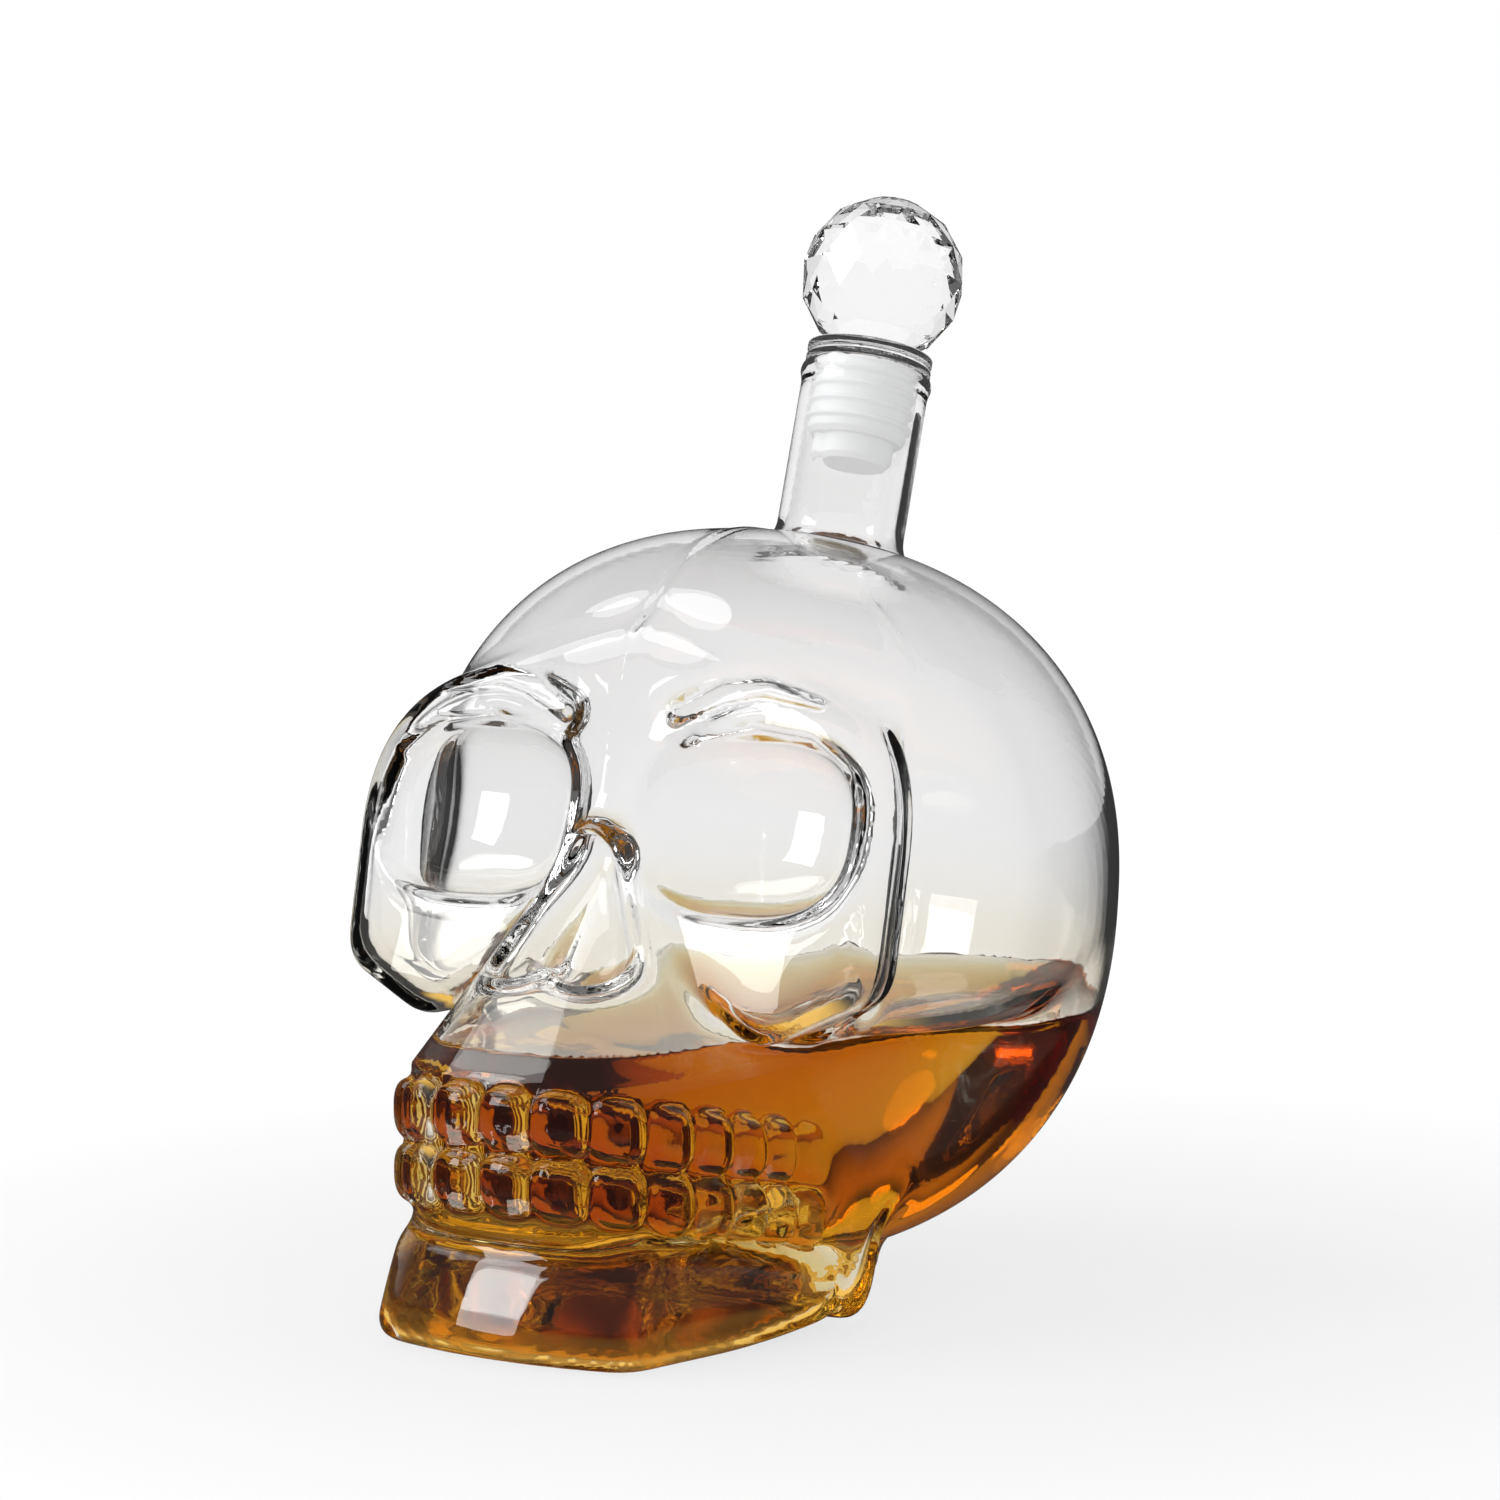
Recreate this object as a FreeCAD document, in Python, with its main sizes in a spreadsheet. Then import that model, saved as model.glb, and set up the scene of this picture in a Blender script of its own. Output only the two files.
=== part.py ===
"""A glass skull decanter with its liquor and its plug stopper, as a parametric document.

Millimetres. X is across the face, the face looks along -Y, Z is up and the floor is Z = 0.
The stopper pieces are drawn about the neck's own axis, with the lip's rim at zero height.
"""
import FreeCAD, Part
import math
import os
import Sketcher

X_AXIS = FreeCAD.Vector(1, 0, 0)
# How finely the curves are drawn, and how near a point counts as on a face, in millimetres
EGG_RINGS = 11
EGG_POINTS = 20
EGG_STEEPEST = math.radians(80)
ARCH_STEPS = 10
NEAR = 1e-3

# Driving dimensions, written once, in millimetres and degrees
SIZES = {
    # Glass
    "wall": 3.2,
    "base_wall": 6.0,
    # Cranium: an egg whose front, back, top and bottom have reaches of their own
    "cranium_half_width": 57.5,
    "cranium_front": 41.0,
    "cranium_back": 70.5,
    "cranium_rise": 58.0,
    "cranium_drop": 62.8,
    "cranium_shift": -3.5,
    "cranium_lift": 5.6,
    "cranium_tilt": -5.7,
    "cranium_power": 2.26,
    # Temples: the hollows behind the face plate
    "temple_side": 66.0,
    "temple_forward": 36.0,
    "temple_rise": 13.6,
    "temple_across": 21.5,
    "temple_along": 28.0,
    "temple_tall": 36.0,
    # Face plate: cheeks, orbit rims and brow, leaning back
    "face_forward": 44.0,
    "face_height": 68.0,
    "face_lean": -12.9,
    "face_half_width": 50.3,
    "face_top": 35.0,
    "face_corner": 9.0,
    "face_cheek": 11.5,
    "cheek_side": 31.5,
    "cheek_drop": 21.0,
    "cheek_notch": 10.0,
    "face_rim": 9.0,
    "face_depth": 30.0,
    "face_round": 4.0,
    # Eye sockets
    "socket_side": 25.7,
    "socket_proud": 1.0,
    "socket_rise": 15.0,
    "socket_across": 20.0,
    "socket_deep": 14.0,
    "socket_tall": 14.6,
    # Nose opening: two lobes under a peak, and the bone above it
    "nose_side": 6.4,
    "nose_proud": 12.0,
    "nose_drop": 4.5,
    "nose_across": 6.8,
    "nose_deep": 10.0,
    "nose_tall": 9.0,
    "nose_peak_set_back": 8.0,
    "nose_peak_rise": 9.0,
    "nose_peak_across": 5.0,
    "nose_peak_tall": 8.0,
    "nose_lean": -22.0,
    "bridge_set_back": 10.5,
    "bridge_rise": 16.0,
    "bridge_across": 8.0,
    "bridge_deep": 7.5,
    "bridge_tall": 15.0,
    # Upper jaw and the two rows of teeth
    "arch_half_width": 27.0,
    "arch_forward": 74.0,
    "arch_start": 34.0,
    "arch_back": 4.0,
    "arch_drop": 14.6,
    "gum_rise": 10.9,
    "arch_rise": 35.0,
    "arch_narrowing": 20.0,
    "arch_rake": 31.5,
    "arch_power": 2.8,
    "tooth_proud": 1.8,
    "tooth_tall": 10.4,
    "tooth_bite": 33.6,
    "tooth_gap": 0.8,
    "tooth_tilt": 9.0,
    "tooth_groove": 1.3,
    "tooth_count": 14,
    # Lower jaw
    "chin_proud": 2.5,
    "chin_half_width": 24.0,
    "chin_rake": 7.8,
    "chin_drop": 12.1,
    "chin_round": 5.0,
    "sole_end": 38.0,
    "jaw_fall": 2.0,
    "heel_forward": 19.0,
    "heel_half_width": 36.0,
    "heel_height": 4.0,
    "ramus_back": 11.0,
    "ramus_forward": 23.0,
    "ramus_rise": 16.4,
    "throat_set_back": 10.0,
    "scoop_rise": 14.0,
    "scoop_tuck": 1.5,
    # Foot under the cranium
    "foot_shift": 12.0,
    "foot_radius": 15.0,
    "foot_height": 14.0,
    # Neck
    "lip_shift": 37.0,
    "neck_rise": 25.6,
    "neck_tilt": 17.7,
    "neck_radius": 10.9,
    "neck_reach": 46.0,
    "neck_flare": 13.6,
    "neck_flare_start": 20.0,
    "neck_flare_end": 29.0,
    "bead_radius": 1.8,
    "bead_drop": 2.4,
    "bead_inset": 1.2,
    "bore_radius": 9.2,
    # Liquor
    "liquor_level": 46.5,
    # Stopper plug: a ribbed sleeve
    "plug_clearance": 0.05,
    "plug_radius": 8.5,
    "plug_length": 17.0,
    "plug_floor": 2.0,
    "plug_end_radius": 6.6,
    "plug_end_length": 4.2,
    "plug_ribs": 4,
    "rib_pitch": 2.8,
    "rib_height": 1.2,
    "rib_start": 1.0,
    # Stopper collar with its shank and spigot
    "collar_radius": 10.8,
    "collar_height": 3.4,
    "collar_round": 0.8,
    "shank_radius": 5.0,
    "shank_clearance": 0.05,
    "spigot_radius": 3.0,
    "spigot_length": 6.0,
    # Stopper ball
    "ball_radius": 14.2,
    "ball_facets": 12,
    "ball_rings": 7,
    "ball_table": 72.0,
    "ball_seat": 70.0,
}

# Places that several forms share, as expressions of the sizes
CRANIUM_HEIGHT = "( cranium_drop + cranium_lift )"
LIP_HEIGHT = f"( {CRANIUM_HEIGHT} + cranium_rise + neck_rise )"
NOSE_FORWARD = "( face_forward + nose_proud )"
NOSE_HEIGHT = "( face_height - nose_drop )"
GUM_HEIGHT = "( tooth_bite + gum_rise )"
CHIN_FORWARD = "( arch_forward + chin_proud )"
CHIN_TOP = "( tooth_bite - chin_drop )"
RAMUS_HEIGHT = "( tooth_bite + ramus_rise )"

doc = FreeCAD.newDocument("SkullDecanter")
sheet = doc.addObject("Spreadsheet::Sheet", "Sizes")
for row, (alias, number) in enumerate(SIZES.items(), start=1):
    sheet.set(f"A{row}", alias)
    sheet.set(f"B{row}", str(number))
    sheet.setAlias(f"B{row}", alias)
doc.recompute()


def cell(text):
    """Return an expression in which each word that names a size reads its cell."""
    words = text.split()
    return " ".join(f"Sizes.{word}" if word in SIZES else word for word in words)


def size(text):
    """Return the number that an expression of sizes gives now."""
    return float(sheet.evalExpression(cell(text)))


def place(item, shift, tilt="0"):
    """Bind an object's placement: a shift in X, Y and Z and a tilt about X."""
    base = " ; ".join(cell(part) for part in shift)
    turn = f"rotation(vector(1; 0; 0); {cell(tilt)})"
    item.setExpression("Placement", f"placement(vector({base}); {turn})")
    return item


def on_neck(item):
    """Put an object drawn about Z onto the neck's axis, with the lip's rim at zero."""
    return place(item, ("0", "lip_shift", LIP_HEIGHT), "- neck_tilt")


def ellipsoid(name, shift, radii, tilt="0"):
    """Add an ellipsoid from its centre, its reaches in X, Y and Z and its tilt."""
    item = doc.addObject("Part::Ellipsoid", name)
    for key, text in zip(("Radius2", "Radius3", "Radius1"), radii):
        item.setExpression(key, cell(text))
    return place(item, shift, tilt)


def solid(name, shape):
    """Add a shape made with curves as an object."""
    item = doc.addObject("Part::Feature", name)
    item.Shape = shape
    return item


def fuse(name, items):
    """Join objects into one."""
    item = doc.addObject("Part::MultiFuse", name)
    item.Shapes = items
    item.Refine = False
    return item


def boolean(kind, name, base, tool):
    """Add a cut or a common of two objects."""
    item = doc.addObject(f"Part::{kind}", name)
    item.Base = base
    item.Tool = tool
    item.Refine = False
    return item


def carve(name, base, tools):
    """Cut tools out of an object one after another."""
    for tool in tools:
        base = boolean("Cut", name, base, tool)
    return base


def new_body(name):
    """Add an empty body."""
    return doc.addObject("PartDesign::Body", name)


def outline(body, role, points):
    """Add a closed outline of straight lines, each corner bound to sizes.

    The corners are pairs of expressions in the sketch's own two directions.
    """
    sketch = body.newObject("Sketcher::SketchObject", f"{body.Name}_{role}")
    planes = [item for item in body.Origin.OriginFeatures if item.Role == role]
    sketch.AttachmentSupport = (planes[0], [""])
    sketch.MapMode = "FlatFace"
    spots = [FreeCAD.Vector(size(across), size(along), 0) for across, along in points]
    count = len(spots)
    for index in range(count):
        sketch.addGeometry(Part.LineSegment(spots[index], spots[(index + 1) % count]), False)
    for index in range(count):
        following = (index + 1) % count
        sketch.addConstraint(Sketcher.Constraint("Coincident", index, 2, following, 1))
    for index, corner in enumerate(points):
        for kind, text, value in zip(("DistanceX", "DistanceY"), corner, spots[index]):
            number = sketch.addConstraint(Sketcher.Constraint(kind, -1, 1, index, 1, value))
            sketch.setExpression(f"Constraints[{number}]", cell(text))
    return sketch


def pad(body, sketch, length, midplane=False, reverse=False):
    """Pad an outline by a length that is an expression."""
    item = body.newObject("PartDesign::Pad", f"{sketch.Name}_pad")
    item.Profile = sketch
    item.setExpression("Length", cell(length))
    item.Midplane = midplane
    item.Reversed = reverse
    doc.recompute()
    return item


def revolve(body, sketch):
    """Turn an outline in the XZ plane once about Z."""
    item = body.newObject("PartDesign::Revolution", f"{sketch.Name}_turn")
    item.Profile = sketch
    item.ReferenceAxis = (sketch, ["V_Axis"])
    item.Angle = 360
    doc.recompute()
    return item


def round_edges(body, base, radius, chosen):
    """Fillet the edges of a feature that a test chooses."""
    names = [f"Edge{n}" for n, edge in enumerate(base.Shape.Edges, start=1) if chosen(edge)]
    item = body.newObject("PartDesign::Fillet", f"{base.Name}_round")
    item.Base = (base, names)
    item.setExpression("Radius", cell(radius))
    doc.recompute()
    return item


def power_point(angle, across, along, power):
    """Return a point of a superellipse at an angle in radians."""
    cosine = math.cos(angle)
    sine = math.sin(angle)
    return (
        math.copysign(abs(cosine) ** (2 / power), cosine) * across,
        math.copysign(abs(sine) ** (2 / power), sine) * along,
    )


def egg(name, inset, floor_inset):
    """Loft the cranium through level rings of one formula, drawn in by an inset."""
    power = size("cranium_power")
    half_width = size("cranium_half_width") - inset
    front = size("cranium_front") - inset
    back = size("cranium_back") - inset
    rise = size("cranium_rise") - inset
    drop = size("cranium_drop") - floor_inset
    rings = []
    for ring in range(EGG_RINGS):
        angle = EGG_STEEPEST * (2 * ring / (EGG_RINGS - 1) - 1)
        scale, height = power_point(angle, 1.0, rise if angle > 0 else drop, power)
        points = []
        for step in range(EGG_POINTS):
            around = 2 * math.pi * step / EGG_POINTS
            reach = back if math.sin(around) > 0 else front
            across, along = power_point(around, half_width, reach, power)
            points.append(FreeCAD.Vector(across * scale, along * scale, height))
        curve = Part.BSplineCurve()
        curve.interpolate(points, PeriodicFlag=True)
        rings.append(Part.Wire(curve.toShape()))
    item = solid(name, Part.makeLoft(rings, True, False))
    return place(item, ("0", "cranium_shift", CRANIUM_HEIGHT), "cranium_tilt")


def temples(grow):
    """Return the hollows at the sides of the cranium, grown by a wall."""
    reaches = (f"temple_across + {grow}", f"temple_along + {grow}", f"temple_tall + {grow}")
    height = f"{CRANIUM_HEIGHT} + temple_rise"
    spots = [(f"{sign}temple_side", "- temple_forward", height) for sign in ("", "- ")]
    return [ellipsoid("temple", spot, reaches) for spot in spots]


def arch_wire(half_width, forward, height):
    """Return the upper jaw's outline at a height: a rounded front and straight sides."""
    start = -size("arch_start")
    back = -size("arch_back")
    points = []
    for step in range(ARCH_STEPS + 1):
        angle = math.pi * step / ARCH_STEPS
        across, along = power_point(angle, half_width, forward + start, size("arch_power"))
        points.append(FreeCAD.Vector(across, start - along, height))
    curve = Part.BSplineCurve()
    curve.interpolate(points)
    corners = [
        points[-1],
        FreeCAD.Vector(-half_width, back, height),
        FreeCAD.Vector(half_width, back, height),
        points[0],
    ]
    edges = [curve.toShape()]
    edges += [Part.LineSegment(a, b).toShape() for a, b in zip(corners, corners[1:])]
    return Part.Wire(edges)


def upper_jaw(name, inset):
    """Loft the upper jaw from below the teeth to beside the nose."""
    wide = size("arch_half_width") - inset
    forward = size("arch_forward") - inset
    stations = [
        (wide, forward, size("tooth_bite - arch_drop") + inset),
        (wide, forward, size(GUM_HEIGHT)),
        (
            wide - size("arch_narrowing"),
            forward - size("arch_rake"),
            size(f"{GUM_HEIGHT} + arch_rise") - inset,
        ),
    ]
    wires = [arch_wire(*station) for station in stations]
    return solid(name, Part.makeLoft(wires, True, True))


def tooth_rows():
    """Make the two rows: bands along the arch, parted by upright grooves."""
    proud = size("tooth_proud")
    tall = size("tooth_tall")
    gap = size("tooth_gap")
    wire = arch_wire(size("arch_half_width") + proud, size("arch_forward") + proud, 0)
    band = Part.Face(wire).extrude(FreeCAD.Vector(0, 0, tall))
    bands = []
    for drop in (-tall - gap / 2, gap / 2):
        row = solid("tooth_band", band)
        turn = FreeCAD.Rotation(X_AXIS, -size("tooth_tilt"))
        hinge = FreeCAD.Vector(0, -size("arch_forward"), 0)
        move = FreeCAD.Placement(FreeCAD.Vector(0, 0, size("tooth_bite")), turn, hinge)
        row.Placement = move * FreeCAD.Placement(FreeCAD.Vector(0, 0, drop), FreeCAD.Rotation())
        bands.append(row)
    front = wire.Edges[0]
    grooves = []
    teeth = int(size("tooth_count"))
    for index in range(1, teeth):
        spot = front.valueAt(front.getParameterByLength(front.Length * index / teeth))
        groove = doc.addObject("Part::Cylinder", "tooth_groove")
        groove.setExpression("Radius", cell("tooth_groove"))
        groove.setExpression("Height", cell("2 * tooth_bite"))
        groove.Placement.Base = FreeCAD.Vector(spot.x, spot.y, 0)
        grooves.append(groove)
    return boolean("Cut", "teeth", fuse("tooth_bands", bands), fuse("tooth_grooves", grooves))


def face_plate(name, inset):
    """Pad the face's outline back from its front, round it and bevel it behind the rims."""
    body = new_body(name)
    high = f"face_top - {inset}"
    side = f"face_half_width - {inset}"
    sketch = outline(body, "XZ_Plane", [
        (side, f"{inset} - face_cheek"),
        (side, f"{high} - face_corner"),
        (f"{side} - face_corner", high),
        (f"face_corner - ( {side} )", high),
        (f"- ( {side} )", f"{high} - face_corner"),
        (f"- ( {side} )", f"{inset} - face_cheek"),
        ("- cheek_side", f"{inset} - cheek_drop"),
        ("0", f"{inset} - cheek_notch"),
        ("cheek_side", f"{inset} - cheek_drop"),
    ])
    plate = pad(body, sketch, f"face_depth - {inset}", reverse=True)
    front = [edge for edge in plate.Shape.Edges if abs(edge.CenterOfMass.y) < NEAR]
    hashes = [edge.hashCode() for edge in front]
    round_edges(body, plate, f"face_round - {inset} / 2", lambda e: e.hashCode() in hashes)
    for sign in ("", "- "):
        bevel = outline(body, "XY_Plane", [
            (f"{sign}( {side} + wall )", f"face_rim - 2 * {inset}"),
            (f"{sign}( {side} + wall )", "face_depth + wall"),
            (f"{sign}( {side} - face_depth )", "face_depth + wall"),
        ])
        notch = body.newObject("PartDesign::Pocket", f"{bevel.Name}_notch")
        notch.Profile = bevel
        notch.Type = "ThroughAll"
        notch.Midplane = True
        doc.recompute()
    shift = ("0", f"{inset} - face_forward", "face_height")
    return place(body, shift, "face_lean")


def lower_jaw(name, inset, sole):
    """Cross a plan of the jaw with its side view, both drawn in by an inset."""
    plan = new_body(f"{name}_plan")
    chin = f"chin_half_width - {inset}"
    heel = f"heel_half_width - {inset}"
    sketch = outline(plan, "XY_Plane", [
        (chin, f"{inset} - {CHIN_FORWARD}"),
        (heel, "- heel_forward"),
        (heel, "ramus_back"),
        (f"- ( {heel} )", "ramus_back"),
        (f"- ( {heel} )", "- heel_forward"),
        (f"- ( {chin} )", f"{inset} - {CHIN_FORWARD}"),
    ])
    block = pad(plan, sketch, f"{RAMUS_HEIGHT} + wall")
    middle = size(f"heel_forward + {CHIN_FORWARD}") / 2
    round_edges(plan, block, f"chin_round - {inset} / 2", lambda e: (
        e.CenterOfMass.y < -middle and e.BoundBox.XLength < NEAR
    ))
    side = new_body(f"{name}_side")
    profile = outline(side, "YZ_Plane", [
        (f"{inset} - {CHIN_FORWARD}", sole),
        ("- sole_end", sole),
        (f"- heel_forward - {inset}", f"heel_height + {sole}"),
        (f"ramus_back - {inset}", f"{RAMUS_HEIGHT} - {inset}"),
        (f"{inset} - ramus_forward", f"{RAMUS_HEIGHT} - {inset}"),
        (f"{inset} - ramus_forward", f"{CHIN_TOP} - jaw_fall - {inset}"),
        (f"{inset} + chin_rake - {CHIN_FORWARD}", f"{CHIN_TOP} - {inset}"),
    ])
    pad(side, profile, "2 * heel_half_width + 2 * wall", midplane=True)
    return boolean("Common", name, plan, side)


def scoops(grow):
    """Return the hollows of the cranium beside the jaw, grown by a wall."""
    found = []
    reach = "2 * cranium_half_width"
    for sign in ("", "- "):
        plan = new_body("scoop_plan")
        sketch = outline(plan, "XY_Plane", [
            (f"{sign}( chin_half_width - scoop_tuck - {grow} )", f"- {CHIN_FORWARD}"),
            (f"{sign}( heel_half_width - scoop_tuck - {grow} )", "- heel_forward"),
            (f"{sign}( heel_half_width - scoop_tuck - {grow} )", "cranium_back"),
            (f"{sign}{reach}", "cranium_back"),
            (f"{sign}{reach}", f"- {CHIN_FORWARD}"),
        ])
        pad(plan, sketch, f"tooth_bite + scoop_rise + {grow}")
        side = new_body("scoop_side")
        profile = outline(side, "YZ_Plane", [
            (f"- {CHIN_FORWARD}", "0"),
            (f"{grow} - scoop_tuck - heel_forward", "0"),
            (f"{grow} - scoop_tuck - heel_forward", "heel_height"),
            (f"{grow} - scoop_tuck + ramus_back", RAMUS_HEIGHT),
            (f"{grow} - scoop_tuck + ramus_back", f"2 * {RAMUS_HEIGHT}"),
            (f"- {CHIN_FORWARD}", f"2 * {RAMUS_HEIGHT}"),
        ])
        pad(side, profile, f"2 * {reach}", midplane=True)
        found.append(boolean("Common", "scoop", plan, side))
    return found


def lobes(grow):
    """Return the hollows of the face, sockets and nose, grown by a wall."""
    found = []
    for sign in ("", "- "):
        found.append(ellipsoid(
            "socket",
            (f"{sign}socket_side", "- face_forward - socket_proud", "face_height + socket_rise"),
            (f"socket_across + {grow}", f"socket_deep + {grow}", f"socket_tall + {grow}"),
            "face_lean",
        ))
        found.append(ellipsoid(
            "nostril",
            (f"{sign}nose_side", f"- {NOSE_FORWARD}", NOSE_HEIGHT),
            (f"nose_across + {grow}", f"nose_deep + {grow}", f"nose_tall + {grow}"),
            "nose_lean",
        ))
    found.append(ellipsoid(
        "nose_peak",
        ("0", f"nose_peak_set_back - {NOSE_FORWARD}", f"{NOSE_HEIGHT} + nose_peak_rise"),
        (f"nose_peak_across + {grow}", f"nose_deep + {grow}", f"nose_peak_tall + {grow}"),
        "nose_lean",
    ))
    return found


def neck():
    """Turn the neck's outside with its flared root, and its rounded lip bead."""
    body = new_body("neck_tube")
    sketch = outline(body, "XZ_Plane", [
        ("0", "0"),
        ("neck_radius", "0"),
        ("neck_radius", "- neck_flare_start"),
        ("neck_flare", "- neck_flare_end"),
        ("neck_flare", "- neck_reach"),
        ("0", "- neck_reach"),
    ])
    revolve(body, sketch)
    bead = doc.addObject("Part::Torus", "lip_bead")
    bead.setExpression("Radius1", cell("neck_radius - bead_inset"))
    bead.setExpression("Radius2", cell("bead_radius"))
    axis_y = "lip_shift - bead_drop * sin( neck_tilt )"
    axis_z = f"{LIP_HEIGHT} - bead_drop * cos( neck_tilt )"
    place(bead, ("0", axis_y, axis_z), "- neck_tilt")
    return [on_neck(body), bead]


def bore():
    """Make the neck's bore, from past the lip down into the chamber."""
    item = doc.addObject("Part::Cylinder", "neck_bore")
    item.setExpression("Radius", cell("bore_radius"))
    item.setExpression("Height", cell("neck_reach + wall"))
    axis_y = "lip_shift - neck_reach * sin( neck_tilt )"
    axis_z = f"{LIP_HEIGHT} - neck_reach * cos( neck_tilt )"
    return place(item, ("0", axis_y, axis_z), "- neck_tilt")


def foot():
    """Make the flat foot under the cranium."""
    item = doc.addObject("Part::Cylinder", "foot")
    item.setExpression("Radius", cell("foot_radius"))
    item.setExpression("Height", cell("foot_height"))
    return place(item, ("0", "foot_shift", "0"))


def bridge():
    """Make the nasal bone between the sockets."""
    return ellipsoid(
        "nose_bridge",
        ("0", "bridge_set_back - face_forward", "face_height + bridge_rise"),
        ("bridge_across", "bridge_deep", "bridge_tall"),
        "nose_lean",
    )


def throat():
    """Make the way between the jaw's room and the mouth's, behind the lower teeth."""
    item = doc.addObject("Part::Box", "throat")
    item.setExpression("Length", cell("2 * chin_half_width - 2 * throat_set_back"))
    item.setExpression("Width", cell(f"{CHIN_FORWARD} - chin_rake - throat_set_back - arch_back"))
    item.setExpression("Height", cell("tooth_bite - 2 * base_wall"))
    shift = (
        "throat_set_back - chin_half_width",
        f"throat_set_back + chin_rake - {CHIN_FORWARD}",
        "2 * base_wall",
    )
    return place(item, shift)


def chamber():
    """Make the hollow inside the glass, without the neck's bore."""
    wall = size("wall")
    rooms = [
        carve(
            "hollowed_room",
            egg("cranium_room", wall, size("base_wall")),
            scoops("wall") + temples("wall"),
        ),
        face_plate("face_room", "wall"),
        upper_jaw("arch_room", wall),
        lower_jaw("jaw_room", "wall", "base_wall"),
        throat(),
    ]
    hollow = fuse("chamber_rooms", rooms)
    return carve("chamber", hollow, lobes("wall"))


def vessel(hollow):
    """Make the glass: every outer form in one, less the hollows and the chamber."""
    skull = fuse("skull_forms", [
        carve("hollowed_cranium", egg("cranium", 0, 0), scoops("0") + temples("0")),
        face_plate("face", "0"),
        bridge(),
        upper_jaw("arch", 0),
        tooth_rows(),
        lower_jaw("jaw", "0", "0"),
        foot(),
    ] + neck())
    item = carve("skull_glass", skull, lobes("0") + [hollow, bore()])
    item.Label = "skull_vessel"
    return item


def liquor(hollow):
    """Fill the chamber up to the level."""
    box = doc.addObject("Part::Box", "liquor_block")
    reach = "3 * cranium_back"
    box.setExpression("Length", cell(reach))
    box.setExpression("Width", cell(reach))
    box.setExpression("Height", cell("liquor_level"))
    place(box, (f"- {reach} / 2", f"- {reach} / 2", "0"))
    return boolean("Common", "liquor_fill", hollow, box)


def plug():
    """Turn the ribbed sleeve: an open top, a closed tapered end and ribs."""
    body = new_body("stopper_plug")
    rib_edge = "bore_radius - plug_clearance"
    outside = [("plug_radius", "0")]
    for index in range(int(size("plug_ribs"))):
        top = f"- rib_start - {index} * rib_pitch"
        outside += [
            ("plug_radius", top),
            (rib_edge, f"{top} - rib_height / 3"),
            (rib_edge, f"{top} - 2 * rib_height / 3"),
            ("plug_radius", f"{top} - rib_height"),
        ]
    sketch = outline(body, "XZ_Plane", [("shank_radius + shank_clearance", "0")] + outside + [
        ("plug_radius", "plug_end_length - plug_length"),
        ("plug_end_radius", "plug_end_length - plug_length"),
        ("plug_end_radius", "- plug_length"),
        ("0", "- plug_length"),
        ("0", "plug_floor - plug_length"),
        ("shank_radius + shank_clearance", "plug_floor - plug_length"),
    ])
    revolve(body, sketch)
    return on_neck(body)


def collar():
    """Turn the clear disc with its shank below and its spigot above."""
    body = new_body("stopper_collar")
    sketch = outline(body, "XZ_Plane", [
        ("0", "plug_floor + shank_clearance - plug_length"),
        ("shank_radius", "plug_floor + shank_clearance - plug_length"),
        ("shank_radius", "0"),
        ("collar_radius", "0"),
        ("collar_radius", "collar_height"),
        ("spigot_radius", "collar_height"),
        ("spigot_radius", "collar_height + spigot_length"),
        ("0", "collar_height + spigot_length"),
    ])
    disc = revolve(body, sketch)
    limit = size("collar_radius") - NEAR
    round_edges(body, disc, "collar_round", lambda e: (
        isinstance(e.Curve, Part.Circle) and e.Curve.Radius > limit
    ))
    return on_neck(body)


def ball():
    """Make the crystal: rings of corners joined by flat triangles, with a spigot hole."""
    facets = int(size("ball_facets"))
    ring_count = int(size("ball_rings"))
    radius = size("ball_radius")
    table = math.radians(size("ball_table"))
    seat = -math.radians(size("ball_seat"))
    rings = []
    for ring in range(ring_count):
        latitude = seat + (table - seat) * ring / (ring_count - 1)
        corners = []
        for step in range(facets):
            around = 2 * math.pi * (step + ring % 2 / 2) / facets
            flat = radius * math.cos(latitude)
            corners.append(FreeCAD.Vector(
                flat * math.cos(around), flat * math.sin(around), radius * math.sin(latitude)
            ))
        rings.append(corners)
    faces = []
    for ring, (low, high) in enumerate(zip(rings, rings[1:])):
        for step in range(facets):
            after = (step + 1) % facets
            if ring % 2 == 0:
                triples = [(low[step], low[after], high[step]), (high[step], low[after], high[after])]
            else:
                triples = [(low[step], high[after], high[step]), (low[step], low[after], high[after])]
            for corners in triples:
                faces.append(Part.Face(Part.makePolygon(list(corners) + [corners[0]])))
    for ring in (rings[0], rings[-1]):
        faces.append(Part.Face(Part.makePolygon(ring + [ring[0]])))
    stone = solid("crystal", Part.Solid(Part.Shell(faces)))
    lift = size("collar_height") - rings[0][0].z
    stone.Shape = stone.Shape.translated(FreeCAD.Vector(0, 0, lift))
    hole = doc.addObject("Part::Cylinder", "spigot_hole")
    hole.setExpression("Radius", cell("spigot_radius"))
    hole.setExpression("Height", cell("collar_height + spigot_length"))
    return on_neck(boolean("Cut", "stopper_ball", stone, hole))


def write(items):
    """Check every piece and write each as a file of its own."""
    doc.recompute()
    broken = [item.Name for item in doc.Objects if "Invalid" in item.State or "Error" in item.State]
    if broken:
        raise RuntimeError(f"objects in error: {broken}")
    os.makedirs("parts", exist_ok=True)
    for item in items:
        shape = item.Shape
        if shape.isNull() or not shape.isValid() or len(shape.Solids) != 1:
            raise RuntimeError(f"{item.Label}: not one valid solid")
        shape.exportStep(f"parts/{item.Label}.step")
        print(f"{item.Label}: {shape.Volume / 1000:.2f} cm3, box {shape.BoundBox}")


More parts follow.
